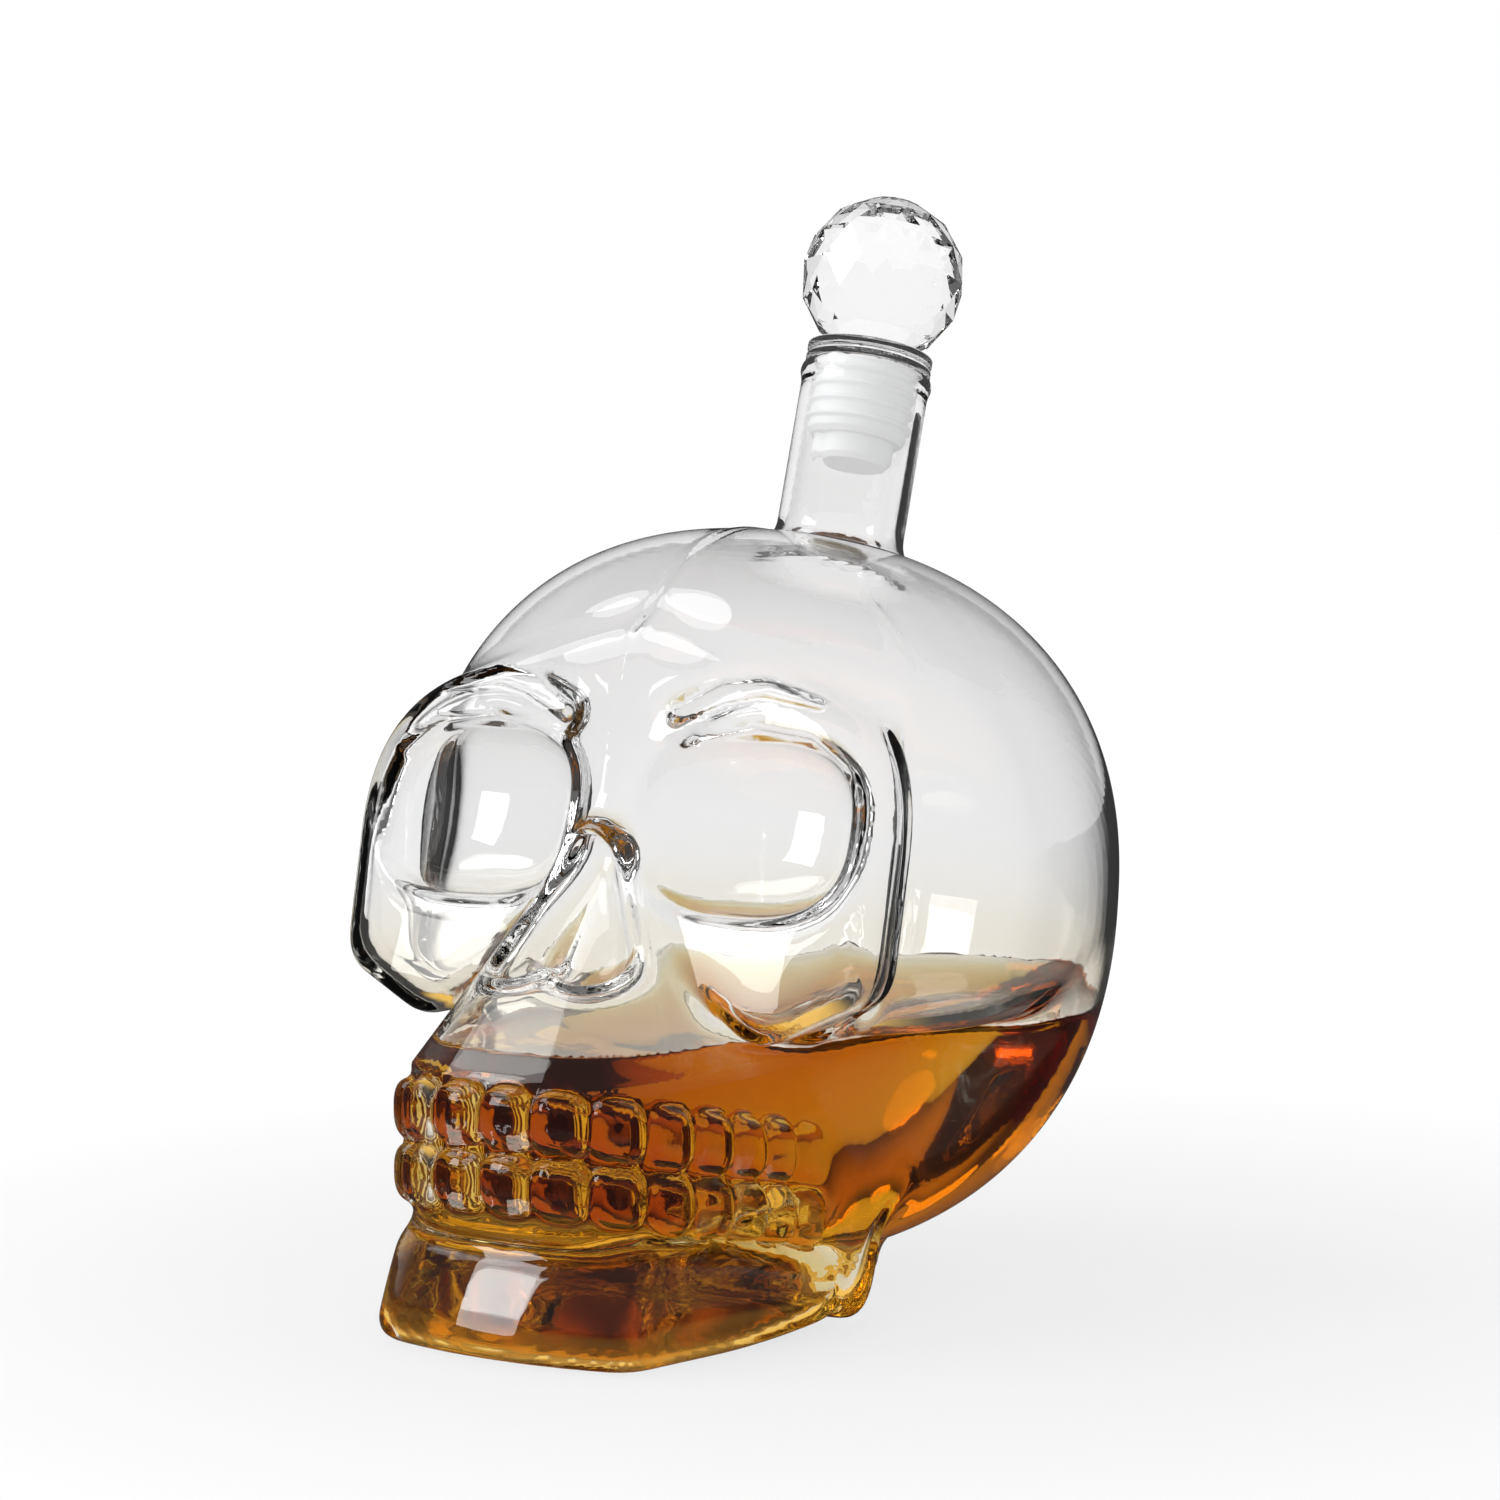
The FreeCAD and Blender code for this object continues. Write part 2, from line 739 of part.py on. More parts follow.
inside = chamber()
write([vessel(inside), liquor(inside), plug(), collar(), ball()])
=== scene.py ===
"""Dress the skull decanter: blown glass, amber liquor and a crystal stopper in a white studio.

The skull is a distance field in millimetres. Each form of the head is a small class whose
`distance` is negative inside it; the forms are joined, cut and hollowed with soft edges, and the
result is turned into one closed mesh of glass and one of liquor. The stopper's pieces are turned
about the neck's axis. X is across the face, the face looks along -Y and Z is up.
"""

import logging
import math
from dataclasses import dataclass, field
from enum import Enum
from typing import Callable, Sequence

import bpy
import numpy as np
import openvdb
from mathutils import Matrix, Vector


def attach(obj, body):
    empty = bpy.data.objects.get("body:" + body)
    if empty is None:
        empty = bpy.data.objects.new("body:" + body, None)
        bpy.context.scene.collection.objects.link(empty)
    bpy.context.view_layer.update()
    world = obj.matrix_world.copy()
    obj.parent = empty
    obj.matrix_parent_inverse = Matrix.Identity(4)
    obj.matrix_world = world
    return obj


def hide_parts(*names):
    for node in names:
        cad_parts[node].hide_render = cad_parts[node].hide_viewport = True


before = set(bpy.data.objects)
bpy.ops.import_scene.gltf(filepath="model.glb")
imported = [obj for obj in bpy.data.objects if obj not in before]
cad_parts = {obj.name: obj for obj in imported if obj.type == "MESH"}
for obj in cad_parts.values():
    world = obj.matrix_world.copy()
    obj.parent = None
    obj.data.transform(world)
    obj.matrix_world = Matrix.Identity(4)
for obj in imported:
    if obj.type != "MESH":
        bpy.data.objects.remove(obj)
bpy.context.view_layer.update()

LOG = logging.getLogger("decanter")
MM = 0.001
WHITE = (1.0, 1.0, 1.0)
# Keeps a division away from zero.
TINY = 1e-3
# The share of a form's reach inside which its field flattens.
CORE = 0.3
# Parts a ray's depth of 0 from any greater depth.
ANY_DEPTH = 0.5
# An edge is rounded where its faces turn by more than this, in degrees.
SHARP_ANGLE = 25.0

Vec = tuple[float, float, float]
Span = tuple[float, float]
Field = np.ndarray
Piece = bpy.types.Object
Material = bpy.types.Material
Tree = bpy.types.NodeTree
Wire = bpy.types.NodeSocket
Inputs = dict[str | int, object]


class Body(Enum):
    """The moving bodies that the pieces ride on."""

    VESSEL = "vessel"
    PLUG = "plug"
    FINIAL = "finial"


class Slot(Enum):
    """The record's material slots."""

    GLASS = "clear_glass"
    LIQUOR = "amber_liquor"
    PLUG = "frosted_plug"
    COLLAR = "clear_collar"
    CRYSTAL = "crystal"


class Shading(Enum):
    """How a mesh's faces meet in the light."""

    SMOOTH = True
    FACETED = False


class Cell(Enum):
    QUICK = 1.4
    FINE = 0.75


@dataclass(frozen=True)
class Points:
    """Coordinates of many points, in millimetres."""

    x: Field
    y: Field
    z: Field

    @classmethod
    def of(cls, spots: Field) -> "Points":
        """Return the points of an array of rows."""
        return cls(spots[:, 0], spots[:, 1], spots[:, 2])

    def about(self, centre: Vec, tilt: float = 0.0, yaw: float = 0.0) -> "Points":
        """See the points from a centre whose axes are tilted about X and then turned about Z.

        Args:
            centre: The new origin.
            tilt: Degrees about X.
            yaw: Degrees about Z.

        Returns:
            The points in the new axes.
        """
        x, y, z = self.x - centre[0], self.y - centre[1], self.z - centre[2]
        cosine, sine = math.cos(math.radians(tilt)), math.sin(math.radians(tilt))
        y, z = y * cosine + z * sine, z * cosine - y * sine
        cosine, sine = math.cos(math.radians(yaw)), math.sin(math.radians(yaw))
        x, y = x * cosine + y * sine, y * cosine - x * sine
        return Points(x, y, z)


def join(first: Field, second: Field, blend: float) -> Field:
    """Unite two fields with a fillet.

    Args:
        first: One distance.
        second: The other distance.
        blend: Width of the fillet.

    Returns:
        The distance to both forms together.
    """
    share = np.clip(0.5 + 0.5 * (second - first) / blend, 0.0, 1.0)
    return second + (first - second) * share - blend * share * (1.0 - share)


def meet(first: Field, second: Field, blend: float) -> Field:
    """Keep what two fields share, with a rounded edge."""
    return -join(-first, -second, blend)


def cut(base: Field, tool: Field, blend: float) -> Field:
    """Take a tool's form out of a base, with a rounded edge."""
    return meet(base, -tool, blend)


def trim(form: Field, *edges: tuple[Field, float]) -> Field:
    """Keep what a form shares with each of several others.

    Args:
        form: The form's distance.
        edges: The distance to each of the others, with the width of the round where it meets the form.

    Returns:
        The distance to what is left.
    """
    for other, rounding in edges:
        form = meet(form, other, rounding)
    return form


@dataclass(frozen=True)
class Plane:
    """A flat side of a form: a point of it, and the direction out of the form, of any length."""

    spot: Vec
    normal: Vec

    def distance(self, points: Points) -> Field:
        """Return the distance to the plane, negative behind it."""
        local, (x, y, z) = points.about(self.spot), self.normal
        return (local.x * x + local.y * y + local.z * z) / math.hypot(x, y, z)


def power_ball(local: Points, reaches: Sequence, power: float = 2.0) -> Field:
    """Return the distance to a ball whose roundness is set by a power.

    Args:
        local: Points seen from the ball's centre.
        reaches: Half sizes along X, Y and Z, as numbers or as one number for each point.
        power: 2 for an ellipsoid, more for a squarer form.

    Returns:
        The distance, close to true near the surface.
    """
    shares = [np.abs(c / r) for c, r in zip((local.x, local.y, local.z), reaches)]
    reach = sum(s**power for s in shares) ** (1.0 / power)
    slopes = [s ** (power - 1.0) / r for s, r in zip(shares, reaches)]
    steep = np.sqrt(sum(s * s for s in slopes)) / np.maximum(reach, TINY) ** (power - 1.0)
    return (reach - 1.0) / np.maximum(steep, TINY) * np.clip(reach, CORE, 1.0)


def rod(points: Points, start: Vec, end: Vec, start_radius: float, end_radius: float) -> Field:
    """Return the distance to a tapered rod with round ends.

    Args:
        points: Where to measure.
        start: Centre of the first end.
        end: Centre of the last end.
        start_radius: Radius at the start.
        end_radius: Radius at the end.

    Returns:
        The distance.
    """
    run = [e - s for s, e in zip(start, end)]
    local = points.about(start)
    along = local.x * run[0] + local.y * run[1] + local.z * run[2]
    share = np.clip(along / sum(r * r for r in run), 0.0, 1.0)
    spread = [c - share * r for c, r in zip((local.x, local.y, local.z), run)]
    return np.sqrt(sum(s * s for s in spread)) - start_radius - (end_radius - start_radius) * share


@dataclass(frozen=True)
class Cranium:
    """The brain case: an egg with a hollow at each temple."""

    centre: Vec = (0.0, -3.5, 68.4)
    tilt: float = -5.7
    half_width: float = 57.5
    front: float = 41.0
    back: float = 70.5
    rise: float = 58.0
    drop: float = 62.8
    power: float = 2.26
    temple: Vec = (66.0, -36.0, 82.0)
    temple_reaches: Vec = (20.0, 26.0, 34.0)
    temple_blend: float = 10.0

    def distance(self, points: Points) -> Field:
        """Measure from the brain case.

        Args:
            points: Where to measure.

        Returns:
            The distance.
        """
        local = points.about(self.centre, self.tilt)
        along = np.where(local.y < 0, self.front, self.back)
        upright = np.where(local.z > 0, self.rise, self.drop)
        case = power_ball(local, (self.half_width, along, upright), self.power)
        return cut(case, power_ball(points.about(self.temple), self.temple_reaches), self.temple_blend)


@dataclass(frozen=True)
class FacePlate:
    """Cheeks and orbit rims: a leaning plate with soft edges and a bevel behind."""

    front: Plane = Plane((0.0, -44.0, 68.0), (0.0, -0.975, 0.223))
    side: Plane = Plane((50.3, -40.0, 75.0), (1.0, -0.03, -0.03))
    top: Plane = Plane((30.0, 0.0, 104.3), (0.28, 0.0, 1.0))
    cheek: Plane = Plane((31.5, -45.0, 47.5), (0.48, 0.0, -1.0))
    inner_cheek: Plane = Plane((31.5, -45.0, 47.5), (-0.62, 0.0, -1.0))
    rear: Plane = Plane((48.0, -29.0, 86.0), (0.35, 0.92, -0.17))
    corner_round: float = 20.0
    cheek_round: float = 4.0
    edge_round: float = 4.0
    rear_round: float = 2.0
    swell: Span = (33.0, 62.0)
    swell_height: float = 1.6
    swell_reach: float = 12.0

    def distance(self, points: Points) -> Field:
        """Measure from the plate, whose front swells a little at each cheek.

        Args:
            points: Where to measure.

        Returns:
            The distance.
        """
        spread = (points.x - self.swell[0]) ** 2 + (points.z - self.swell[1]) ** 2
        swell = self.swell_height * np.exp(-spread / (2.0 * self.swell_reach**2))
        outline = trim(
            self.side.distance(points),
            (self.top.distance(points), self.corner_round),
            (self.cheek.distance(points), self.cheek_round),
            (self.inner_cheek.distance(points), self.cheek_round),
        )
        front, rear = self.front.distance(points) - swell, self.rear.distance(points)
        return trim(front, (outline, self.edge_round), (rear, self.rear_round))


@dataclass(frozen=True)
class Groove:
    """An engraved arc; without other sizes it is the brow's, deepest at its inner end."""

    path: tuple[Vec, ...] = (
        (10.4, -36.7, 97.5),
        (18.5, -35.9, 101.8),
        (25.6, -35.4, 103.1),
        (36.0, -35.6, 101.1),
    )
    radii: tuple[float, ...] = (1.7, 1.6, 1.4, 0.9)

    def distance(self, points: Points) -> Field:
        """Return the distance to the arc."""
        stretches = zip(self.path, self.path[1:], self.radii, self.radii[1:])
        return np.minimum.reduce([rod(points, *stretch) for stretch in stretches])


@dataclass(frozen=True)
class Socket:
    """An eye socket: a squarish bowl."""

    centre: Vec = (25.7, -45.0, 82.8)
    reaches: Vec = (19.0, 14.0, 14.2)
    power: float = 2.7
    tilt: float = -13.0
    yaw: float = 6.0

    def distance(self, points: Points) -> Field:
        """Return the distance to the bowl."""
        return power_ball(points.about(self.centre, self.tilt, self.yaw), self.reaches, self.power)


@dataclass(frozen=True)
class Nose:
    """The nose: a bone between the sockets, and an opening of two lobes under a peak."""

    bone_top: Vec = (0.0, -31.0, 92.0)
    bone_end: Vec = (0.0, -40.0, 76.0)
    bone_radii: Span = (5.0, 6.5)
    lobe: Vec = (6.4, -56.0, 63.5)
    lobe_radius: float = 6.8
    middle: Vec = (0.0, -56.0, 65.0)
    middle_radius: float = 5.0
    peak: Vec = (0.0, -45.0, 76.0)
    peak_radius: float = 2.8
    middle_blend: float = 2.5

    def bone(self, points: Points) -> Field:
        """Return the distance to the nasal bone."""
        return rod(points, self.bone_top, self.bone_end, *self.bone_radii)

    def opening(self, points: Points) -> Field:
        """Measure from one half of the opening.

        Args:
            points: Where to measure.

        Returns:
            The distance.
        """
        lobe = rod(points, self.lobe, self.peak, self.lobe_radius, self.peak_radius)
        middle = rod(points, self.middle, self.peak, self.middle_radius, self.peak_radius)
        return join(lobe, middle, self.middle_blend)


@dataclass(frozen=True)
class DentalArch:
    """The curve that both rows of teeth follow: a rounded front and straight sides."""

    half_width: float = 27.0
    start: float = -34.0
    front: float = -74.0
    power: float = 2.8
    walk_steps: int = 2000

    def distance(self, points: Points, narrowing: Field, retreat: Field) -> Field:
        """Measure from the arch's plan, drawn in with height.

        Args:
            points: Where to measure.
            narrowing: How much less the half width is at each point.
            retreat: How far back the front has gone at each point.

        Returns:
            The distance in plan.
        """
        ahead = np.maximum(self.start - points.y, 0.0)
        flat = Points(points.x, ahead, np.zeros_like(ahead))
        depth = self.start - self.front - retreat
        return power_ball(flat, (self.half_width - narrowing, depth, 1.0), self.power)

    def stations(self, lengths: Sequence[float]) -> list[tuple[float, float, float, float]]:
        """Walk along the arch from the middle of the front.

        Args:
            lengths: How far to walk.

        Returns:
            A place and an outward direction, as X, Y, X, Y, for each length.
        """
        angles = np.linspace(0.0, math.pi / 2.0, self.walk_steps)
        depth = self.start - self.front
        across = self.half_width * np.sin(angles) ** (2.0 / self.power)
        ahead = depth * np.cos(angles) ** (2.0 / self.power)
        walked = np.concatenate([[0.0], np.cumsum(np.hypot(np.diff(across), np.diff(ahead)))])
        found = []
        for length in lengths:
            x, y = float(np.interp(length, walked, across)), float(np.interp(length, walked, ahead))
            out_x = (x / self.half_width) ** (self.power - 1.0) / self.half_width
            out_y = (y / depth) ** (self.power - 1.0) / depth
            size = math.hypot(out_x, out_y)
            found.append((x, self.start - y, out_x / size, -out_y / size))
        return found


@dataclass(frozen=True)
class UpperJaw:
    """The upper jaw: the arch drawn in towards the nose."""

    arch: DentalArch = DentalArch()
    gum: float = 44.0
    slope_height: float = 20.0
    slope_retreat: float = 18.0
    slope_narrowing: float = 11.5
    slope_limit: float = 1.8
    low: float = 19.0
    high: float = 80.0
    back: float = -4.0
    edge_round: float = 4.0

    def distance(self, points: Points) -> Field:
        """Measure from the upper jaw.

        Args:
            points: Where to measure.

        Returns:
            The distance.
        """
        climb = np.clip((points.z - self.gum) / self.slope_height, 0.0, self.slope_limit)
        jaw = self.arch.distance(points, self.slope_narrowing * climb, self.slope_retreat * climb)
        ends = (self.low - points.z, points.z - self.high, points.y - self.back)
        return trim(jaw, *((end, self.edge_round) for end in ends))


@dataclass(frozen=True)
class ToothRow:
    """One row of teeth along the arch, smaller towards the back and lower there."""

    height: float
    half_tall: float
    arch: DentalArch = DentalArch(half_width=27.8, start=-26.0, front=-74.8)
    half_thick: float = 3.8
    set_back: float = 1.0
    count: int = 8
    first_width: float = 8.9
    last_width: float = 7.9
    overlap: float = 0.2
    slope: float = 0.21
    power: float = 2.8

    def distances(self, points: Points) -> list[Field]:
        """Measure from each tooth of one side.

        Args:
            points: Where to measure.

        Returns:
            The distances, from the front tooth to the last.
        """
        widths = np.linspace(self.first_width, self.last_width, self.count)
        middles = np.cumsum(widths) - widths / 2.0
        teeth = []
        for width, (x, y, out_x, out_y) in zip(widths, self.arch.stations(middles)):
            east, north = points.x - x, points.y - y
            rise = points.z - self.height + self.slope * (points.y - self.arch.front)
            outward = east * out_x + north * out_y + self.set_back
            local = Points(north * out_x - east * out_y, outward, rise)
            reaches = (width / 2.0 + self.overlap, self.half_thick, self.half_tall)
            teeth.append(power_ball(local, reaches, self.power))
        return teeth


@dataclass(frozen=True)
class LowerJaw:
    """The lower jaw: a block with a raked chin, flared sides and a rising back edge."""

    chin: Plane = Plane((0.0, -74.5, 6.0), (0.0, -1.0, 0.36))
    chin_swell: Span = (80.0, 60.0)
    chin_middle: float = 11.0
    side: Plane = Plane((23.7, -74.0, 8.0), (0.97, -0.2, 0.16))
    sole: Plane = Plane((0.0, -36.0, 0.0), (0.0, 0.2, -1.0))
    top: Plane = Plane((0.0, -72.0, 22.5), (0.0, 0.2, 1.0))
    heel: Plane = Plane((36.0, -19.0, 4.0), (0.0, 0.84, -0.545))
    branch: Plane = Plane((0.0, -21.0, 20.0), (0.0, -1.0, 0.12))
    branch_inside: float = 22.0
    branch_height: float = 50.0
    side_round: float = 3.5
    sole_round: float = 5.0
    edge_round: float = 4.0
    gum_round: float = 7.0
    heel_round: float = 9.0
    sole_gap: float = 0.15
    scoop_height: float = 48.0
    scoop_round: float = 10.0

    def scoop(self, points: Points) -> Field:
        """Return the distance to the room beside the branch, which the brain case leaves free."""
        ends = (self.heel.distance(points), points.z - self.scoop_height)
        return trim(-self.side.distance(points), *((end, self.scoop_round) for end in ends))

    def distance(self, points: Points) -> Field:
        """Measure from the body of the jaw and the branch that rises behind the teeth.

        Args:
            points: Where to measure.

        Returns:
            The distance.
        """
        side, heel = self.side.distance(points), self.heel.distance(points)
        across, upright = self.chin_swell
        swell = points.x**2 / (2.0 * across) + (points.z - self.chin_middle) ** 2 / (2.0 * upright)
        body = trim(
            self.chin.distance(points) + swell,
            (side, self.side_round),
            (self.sole_gap - points.z, self.sole_round),
            (self.sole.distance(points), self.side_round),
            (self.top.distance(points), self.gum_round),
            (heel, self.heel_round),
        )
        branch = trim(
            self.branch.distance(points),
            (side, self.side_round),
            (self.branch_inside - points.x, self.edge_round),
            (points.z - self.branch_height, self.edge_round),
            (-points.z, self.edge_round),
            (heel, self.edge_round),
        )
        return join(body, branch, self.edge_round)


@dataclass(frozen=True)
class Foot:
    """The flat foot under the brain case."""

    shift: float = 12.0
    radius: float = 15.0
    height: float = 14.0
    edge_round: float = 2.0
    sole_gap: float = 0.15

    def distance(self, points: Points) -> Field:
        """Measure from the foot.

        Args:
            points: Where to measure.

        Returns:
            The distance.
        """
        wall = np.hypot(points.x, points.y - self.shift) - self.radius
        ends = (self.sole_gap - points.z, points.z - self.height)
        return trim(wall, *((end, self.edge_round) for end in ends))


@dataclass(frozen=True)
class Neck:
    """The leaning neck with its bore and lip bead; the stopper's pieces share its axis."""

    lip: Vec = (0.0, 37.0, 152.0)
    tilt: float = 17.7
    radius: float = 10.9
    length: float = 40.0
    bead_radius: float = 1.3
    bead_centre: float = 9.9
    bead_drop: float = 1.6
    bore_radius: float = 9.2
    bore_length: float = 46.0
    edge_round: float = 1.0

    def polar(self, points: Points) -> tuple[Field, Field]:
        """Return each point's distance from the axis and its height over the lip's rim."""
        local = points.about(self.lip, -self.tilt)
        return np.hypot(local.x, local.y), local.z

    def distance(self, points: Points) -> Field:
        """Measure from the tube, without its bead.

        Args:
            points: Where to measure.

        Returns:
            The distance.
        """
        away, height = self.polar(points)
        half = self.length / 2.0
        return meet(away - self.radius, np.abs(height + half) - half, self.edge_round)

    def bead(self, points: Points) -> Field:
        """Return the distance to the lip's bead."""
        away, height = self.polar(points)
        return np.hypot(away - self.bead_centre, height + self.bead_drop) - self.bead_radius

    def bore(self, points: Points) -> Field:
        """Return the distance to the bore, which runs out past the lip."""
        away, height = self.polar(points)
        return np.maximum(away - self.bore_radius, -height - self.bore_length)

    def matrix(self) -> Matrix:
        """Return the place and turn of a piece drawn about Z from the lip's rim, in metres."""
        turn = Matrix.Rotation(-math.radians(self.tilt), 4, "X")
        return Matrix.Translation(Vector(self.lip) * MM) @ turn


@dataclass(frozen=True)
class Skull:
    """The whole outer form of the glass."""

    cranium: Cranium = Cranium()
    face: FacePlate = FacePlate()
    brow: Groove = Groove()
    lid: Groove = Groove(
        path=((15.2, -37.6, 93.9), (25.2, -37.0, 95.5), (35.0, -37.3, 94.2), (42.7, -38.3, 90.2)),
        radii=(0.6, 1.3, 1.5, 0.8),
    )
    socket: Socket = Socket()
    nose: Nose = Nose()
    upper_jaw: UpperJaw = UpperJaw()
    rows: tuple[ToothRow, ...] = (ToothRow(38.6, 5.1), ToothRow(28.6, 4.9))
    lower_jaw: LowerJaw = LowerJaw()
    foot: Foot = Foot()
    neck: Neck = Neck()
    seam: float = 0.25
    seam_reach: float = 1.1
    seam_low: float = 96.0
    seam_high: float = 108.0
    scoop_blend: float = 9.0
    face_blend: float = 4.0
    bone_blend: float = 8.0
    jaw_blend: float = 3.5
    socket_round: float = 2.0
    brow_round: float = 0.6
    opening_round: float = 2.0
    mouth_top: float = 50.0
    mouth_back: float = -15.0
    lower_blend: float = 3.0
    foot_blend: float = 8.0
    tooth_blend: float = 1.2
    neck_blend: float = 5.0
    bead_blend: float = 1.0

    def distance(self, points: Points) -> Field:
        """Measure from the outer form, which is alike on both sides of X = 0.

        Args:
            points: Where to measure.

        Returns:
            The distance.
        """
        points = Points(np.abs(points.x), points.y, points.z)
        case = cut(self.cranium.distance(points), self.lower_jaw.scoop(points), self.scoop_blend)
        form = join(case, self.face.distance(points), self.face_blend)
        form = join(form, self.nose.bone(points), self.bone_blend)
        form = join(form, self.upper_jaw.distance(points), self.jaw_blend)
        form = cut(form, self.socket.distance(points), self.socket_round)
        for groove in (self.brow, self.lid):
            form = cut(form, groove.distance(points), self.brow_round)
        form = cut(form, self.nose.opening(points), self.opening_round)
        form = join(form, self.lower_jaw.distance(points), self.lower_blend)
        form = join(form, self.foot.distance(points), self.foot_blend)
        mouth = (points.z < self.mouth_top) & (points.y < self.mouth_back)
        inside = Points(points.x[mouth], points.y[mouth], points.z[mouth])
        for row in self.rows:
            for tooth in row.distances(inside):
                form[mouth] = join(form[mouth], tooth, self.tooth_blend)
        form = join(form, self.neck.distance(points), self.neck_blend)
        form = join(form, self.neck.bead(points), self.bead_blend)
        rise = np.clip((points.z - self.seam_low) / (self.seam_high - self.seam_low), 0.0, 1.0)
        return form - self.seam * rise * np.exp(-((points.x / self.seam_reach) ** 2))


@dataclass(frozen=True)
class Lattice:
    """A box of cubic cells, alike on both sides of X = 0, in which fields are sampled."""

    half_width: float = 60.0
    low: Span = (-79.0, -1.6)
    high: Span = (70.0, 156.0)
    cell: float = 1.0
    blur_reach: float = 3.0

    def axes(self) -> tuple[Field, Field, Field]:
        """List where fields are sampled.

        Returns:
            The places along X, along Y and along Z.
        """
        count = int(self.half_width / self.cell)
        across = (np.arange(-count, count) + 0.5) * self.cell
        return (
            across.astype(np.float32),
            np.arange(self.low[0], self.high[0], self.cell, dtype=np.float32),
            np.arange(self.low[1], self.high[1], self.cell, dtype=np.float32),
        )

    def points(self, half: bool = False) -> Points:
        """Lay out the places where fields are sampled.

        Args:
            half: Whether to leave out those with X below zero.

        Returns:
            The places, in a block.
        """
        across, along, upright = self.axes()
        if half:
            across = across[len(across) // 2 :]
        return Points(*np.meshgrid(across, along, upright, indexing="ij"))

    def soften(self, values: Field, spread: float) -> Field:
        """Blur a field.

        Args:
            values: The sampled field.
            spread: Standard deviation in millimetres.

        Returns:
            The blurred field.
        """
        reach = int(math.ceil(self.blur_reach * spread / self.cell))
        steps = np.arange(-reach, reach + 1)
        weights = np.exp(-0.5 * (steps * self.cell / spread) ** 2)
        weights /= weights.sum()
        for axis in range(3):
            padding = [(reach, reach) if a == axis else (0, 0) for a in range(3)]
            padded = np.pad(values, padding, mode="edge")
            count = values.shape[axis]
            parts = (w * np.take(padded, range(n, n + count), axis) for n, w in enumerate(weights))
            values = sum(parts).astype(np.float32)
        return values

    def look_up(self, values: Field, spots: Field) -> Field:
        """Interpolate a sampled field.

        Args:
            values: The sampled field.
            spots: Rows of coordinates.

        Returns:
            The field at each row.
        """
        starts = np.array([axis[0] for axis in self.axes()])
        steps = (spots - starts) / self.cell
        corner = np.clip(np.floor(steps).astype(int), 0, np.array(values.shape) - 2)
        share = steps - corner
        total = np.zeros(len(spots))
        for offset in np.ndindex(2, 2, 2):
            weight = np.prod(np.where(offset, share, 1.0 - share), axis=1)
            total += weight * values[tuple((corner + offset).T)]
        return total

    def surface(self, values: Field) -> tuple[Field, Field]:
        """Turn a sampled field into a mesh.

        Args:
            values: The sampled field.

        Returns:
            Rows of corner places, and rows of four corners for each face.
        """
        grid = openvdb.FloatGrid(float(values.max()))
        grid.copyFromArray(np.ascontiguousarray(values))
        steps, quads = grid.convertToQuads(isovalue=0.0)
        starts = np.array([axis[0] for axis in self.axes()])
        return starts + steps * self.cell, quads


def new_piece(name: str, corners: Field, faces: Sequence, shading: Shading) -> Piece:
    """Make a mesh object.

    Args:
        name: The object's name.
        corners: Rows of places, in millimetres.
        faces: Rows of corner numbers.
        shading: Smooth or faceted.

    Returns:
        The object, linked to the scene.
    """
    mesh = bpy.data.meshes.new(name)
    mesh.from_pydata((np.asarray(corners) * MM).tolist(), [], [list(map(int, f)) for f in faces])
    mesh.validate()
    mesh.polygons.foreach_set("use_smooth", [shading.value] * len(mesh.polygons))
    piece = bpy.data.objects.new(name, mesh)
    bpy.context.scene.collection.objects.link(piece)
    return piece


def install(piece: Piece, material: Material, node: str, body: Body) -> None:
    """Give a piece its finish and its place in the frame.

    Args:
        piece: The piece.
        material: Its finish.
        node: The node that it stands for.
        body: The body that it rides on.
    """
    piece.data.materials.append(material)
    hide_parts(node)
    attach(piece, body.value)
    LOG.info("%s: %d faces on %s", piece.name, len(piece.data.polygons), body.value)


def new_material(name: str) -> tuple[Material, Tree]:
    """Start a material.

    Args:
        name: The material's name.

    Returns:
        The material and its emptied node tree.
    """
    material = bpy.data.materials.new(name)
    material.use_nodes = True
    material.node_tree.nodes.clear()
    return material, material.node_tree


def add_node(tree: Tree, kind: str, inputs: Inputs, **settings: str) -> bpy.types.Node:
    """Add a shader node.

    Args:
        tree: Where to add it.
        kind: Its type, without the word that every shader node's type starts with.
        inputs: What goes into each input: another node's output, a number or a colour.
        settings: The node's own choices.

    Returns:
        The node.
    """
    node = tree.nodes.new("ShaderNode" + kind)
    for name, choice in settings.items():
        setattr(node, name, choice)
    for name, value in inputs.items():
        socket = node.inputs[name]
        if isinstance(value, Wire):
            tree.links.new(value, socket)
        else:
            socket.default_value = (*value, 1.0) if socket.type == "RGBA" else value
    return node


def maths(tree: Tree, operation: str, *values: Wire | float) -> Wire:
    """Return the result of a Math node whose inputs are sockets or numbers."""
    return add_node(tree, "Math", dict(enumerate(values)), operation=operation).outputs["Value"]


def measure(tree: Tree, operation: str, *values: Wire | Vec | Vector) -> Wire:
    """Return the number that a Vector Math node gives for sockets or vectors."""
    return add_node(tree, "VectorMath", dict(enumerate(values)), operation=operation).outputs["Value"]


def fade(tree: Tree, value: Wire, limits: Span, ends: Span = (0.0, 1.0)) -> Wire:
    """Go smoothly from one number to another.

    Args:
        tree: Where to add the node.
        value: What the change follows.
        limits: Where the change starts and where it is complete.
        ends: The numbers before and after it.

    Returns:
        A socket with the number.
    """
    names = ("From Min", "From Max", "To Min", "To Max")
    inputs = {"Value": value, **dict(zip(names, (*limits, *ends)))}
    return add_node(tree, "MapRange", inputs, interpolation_type="SMOOTHSTEP").outputs["Result"]


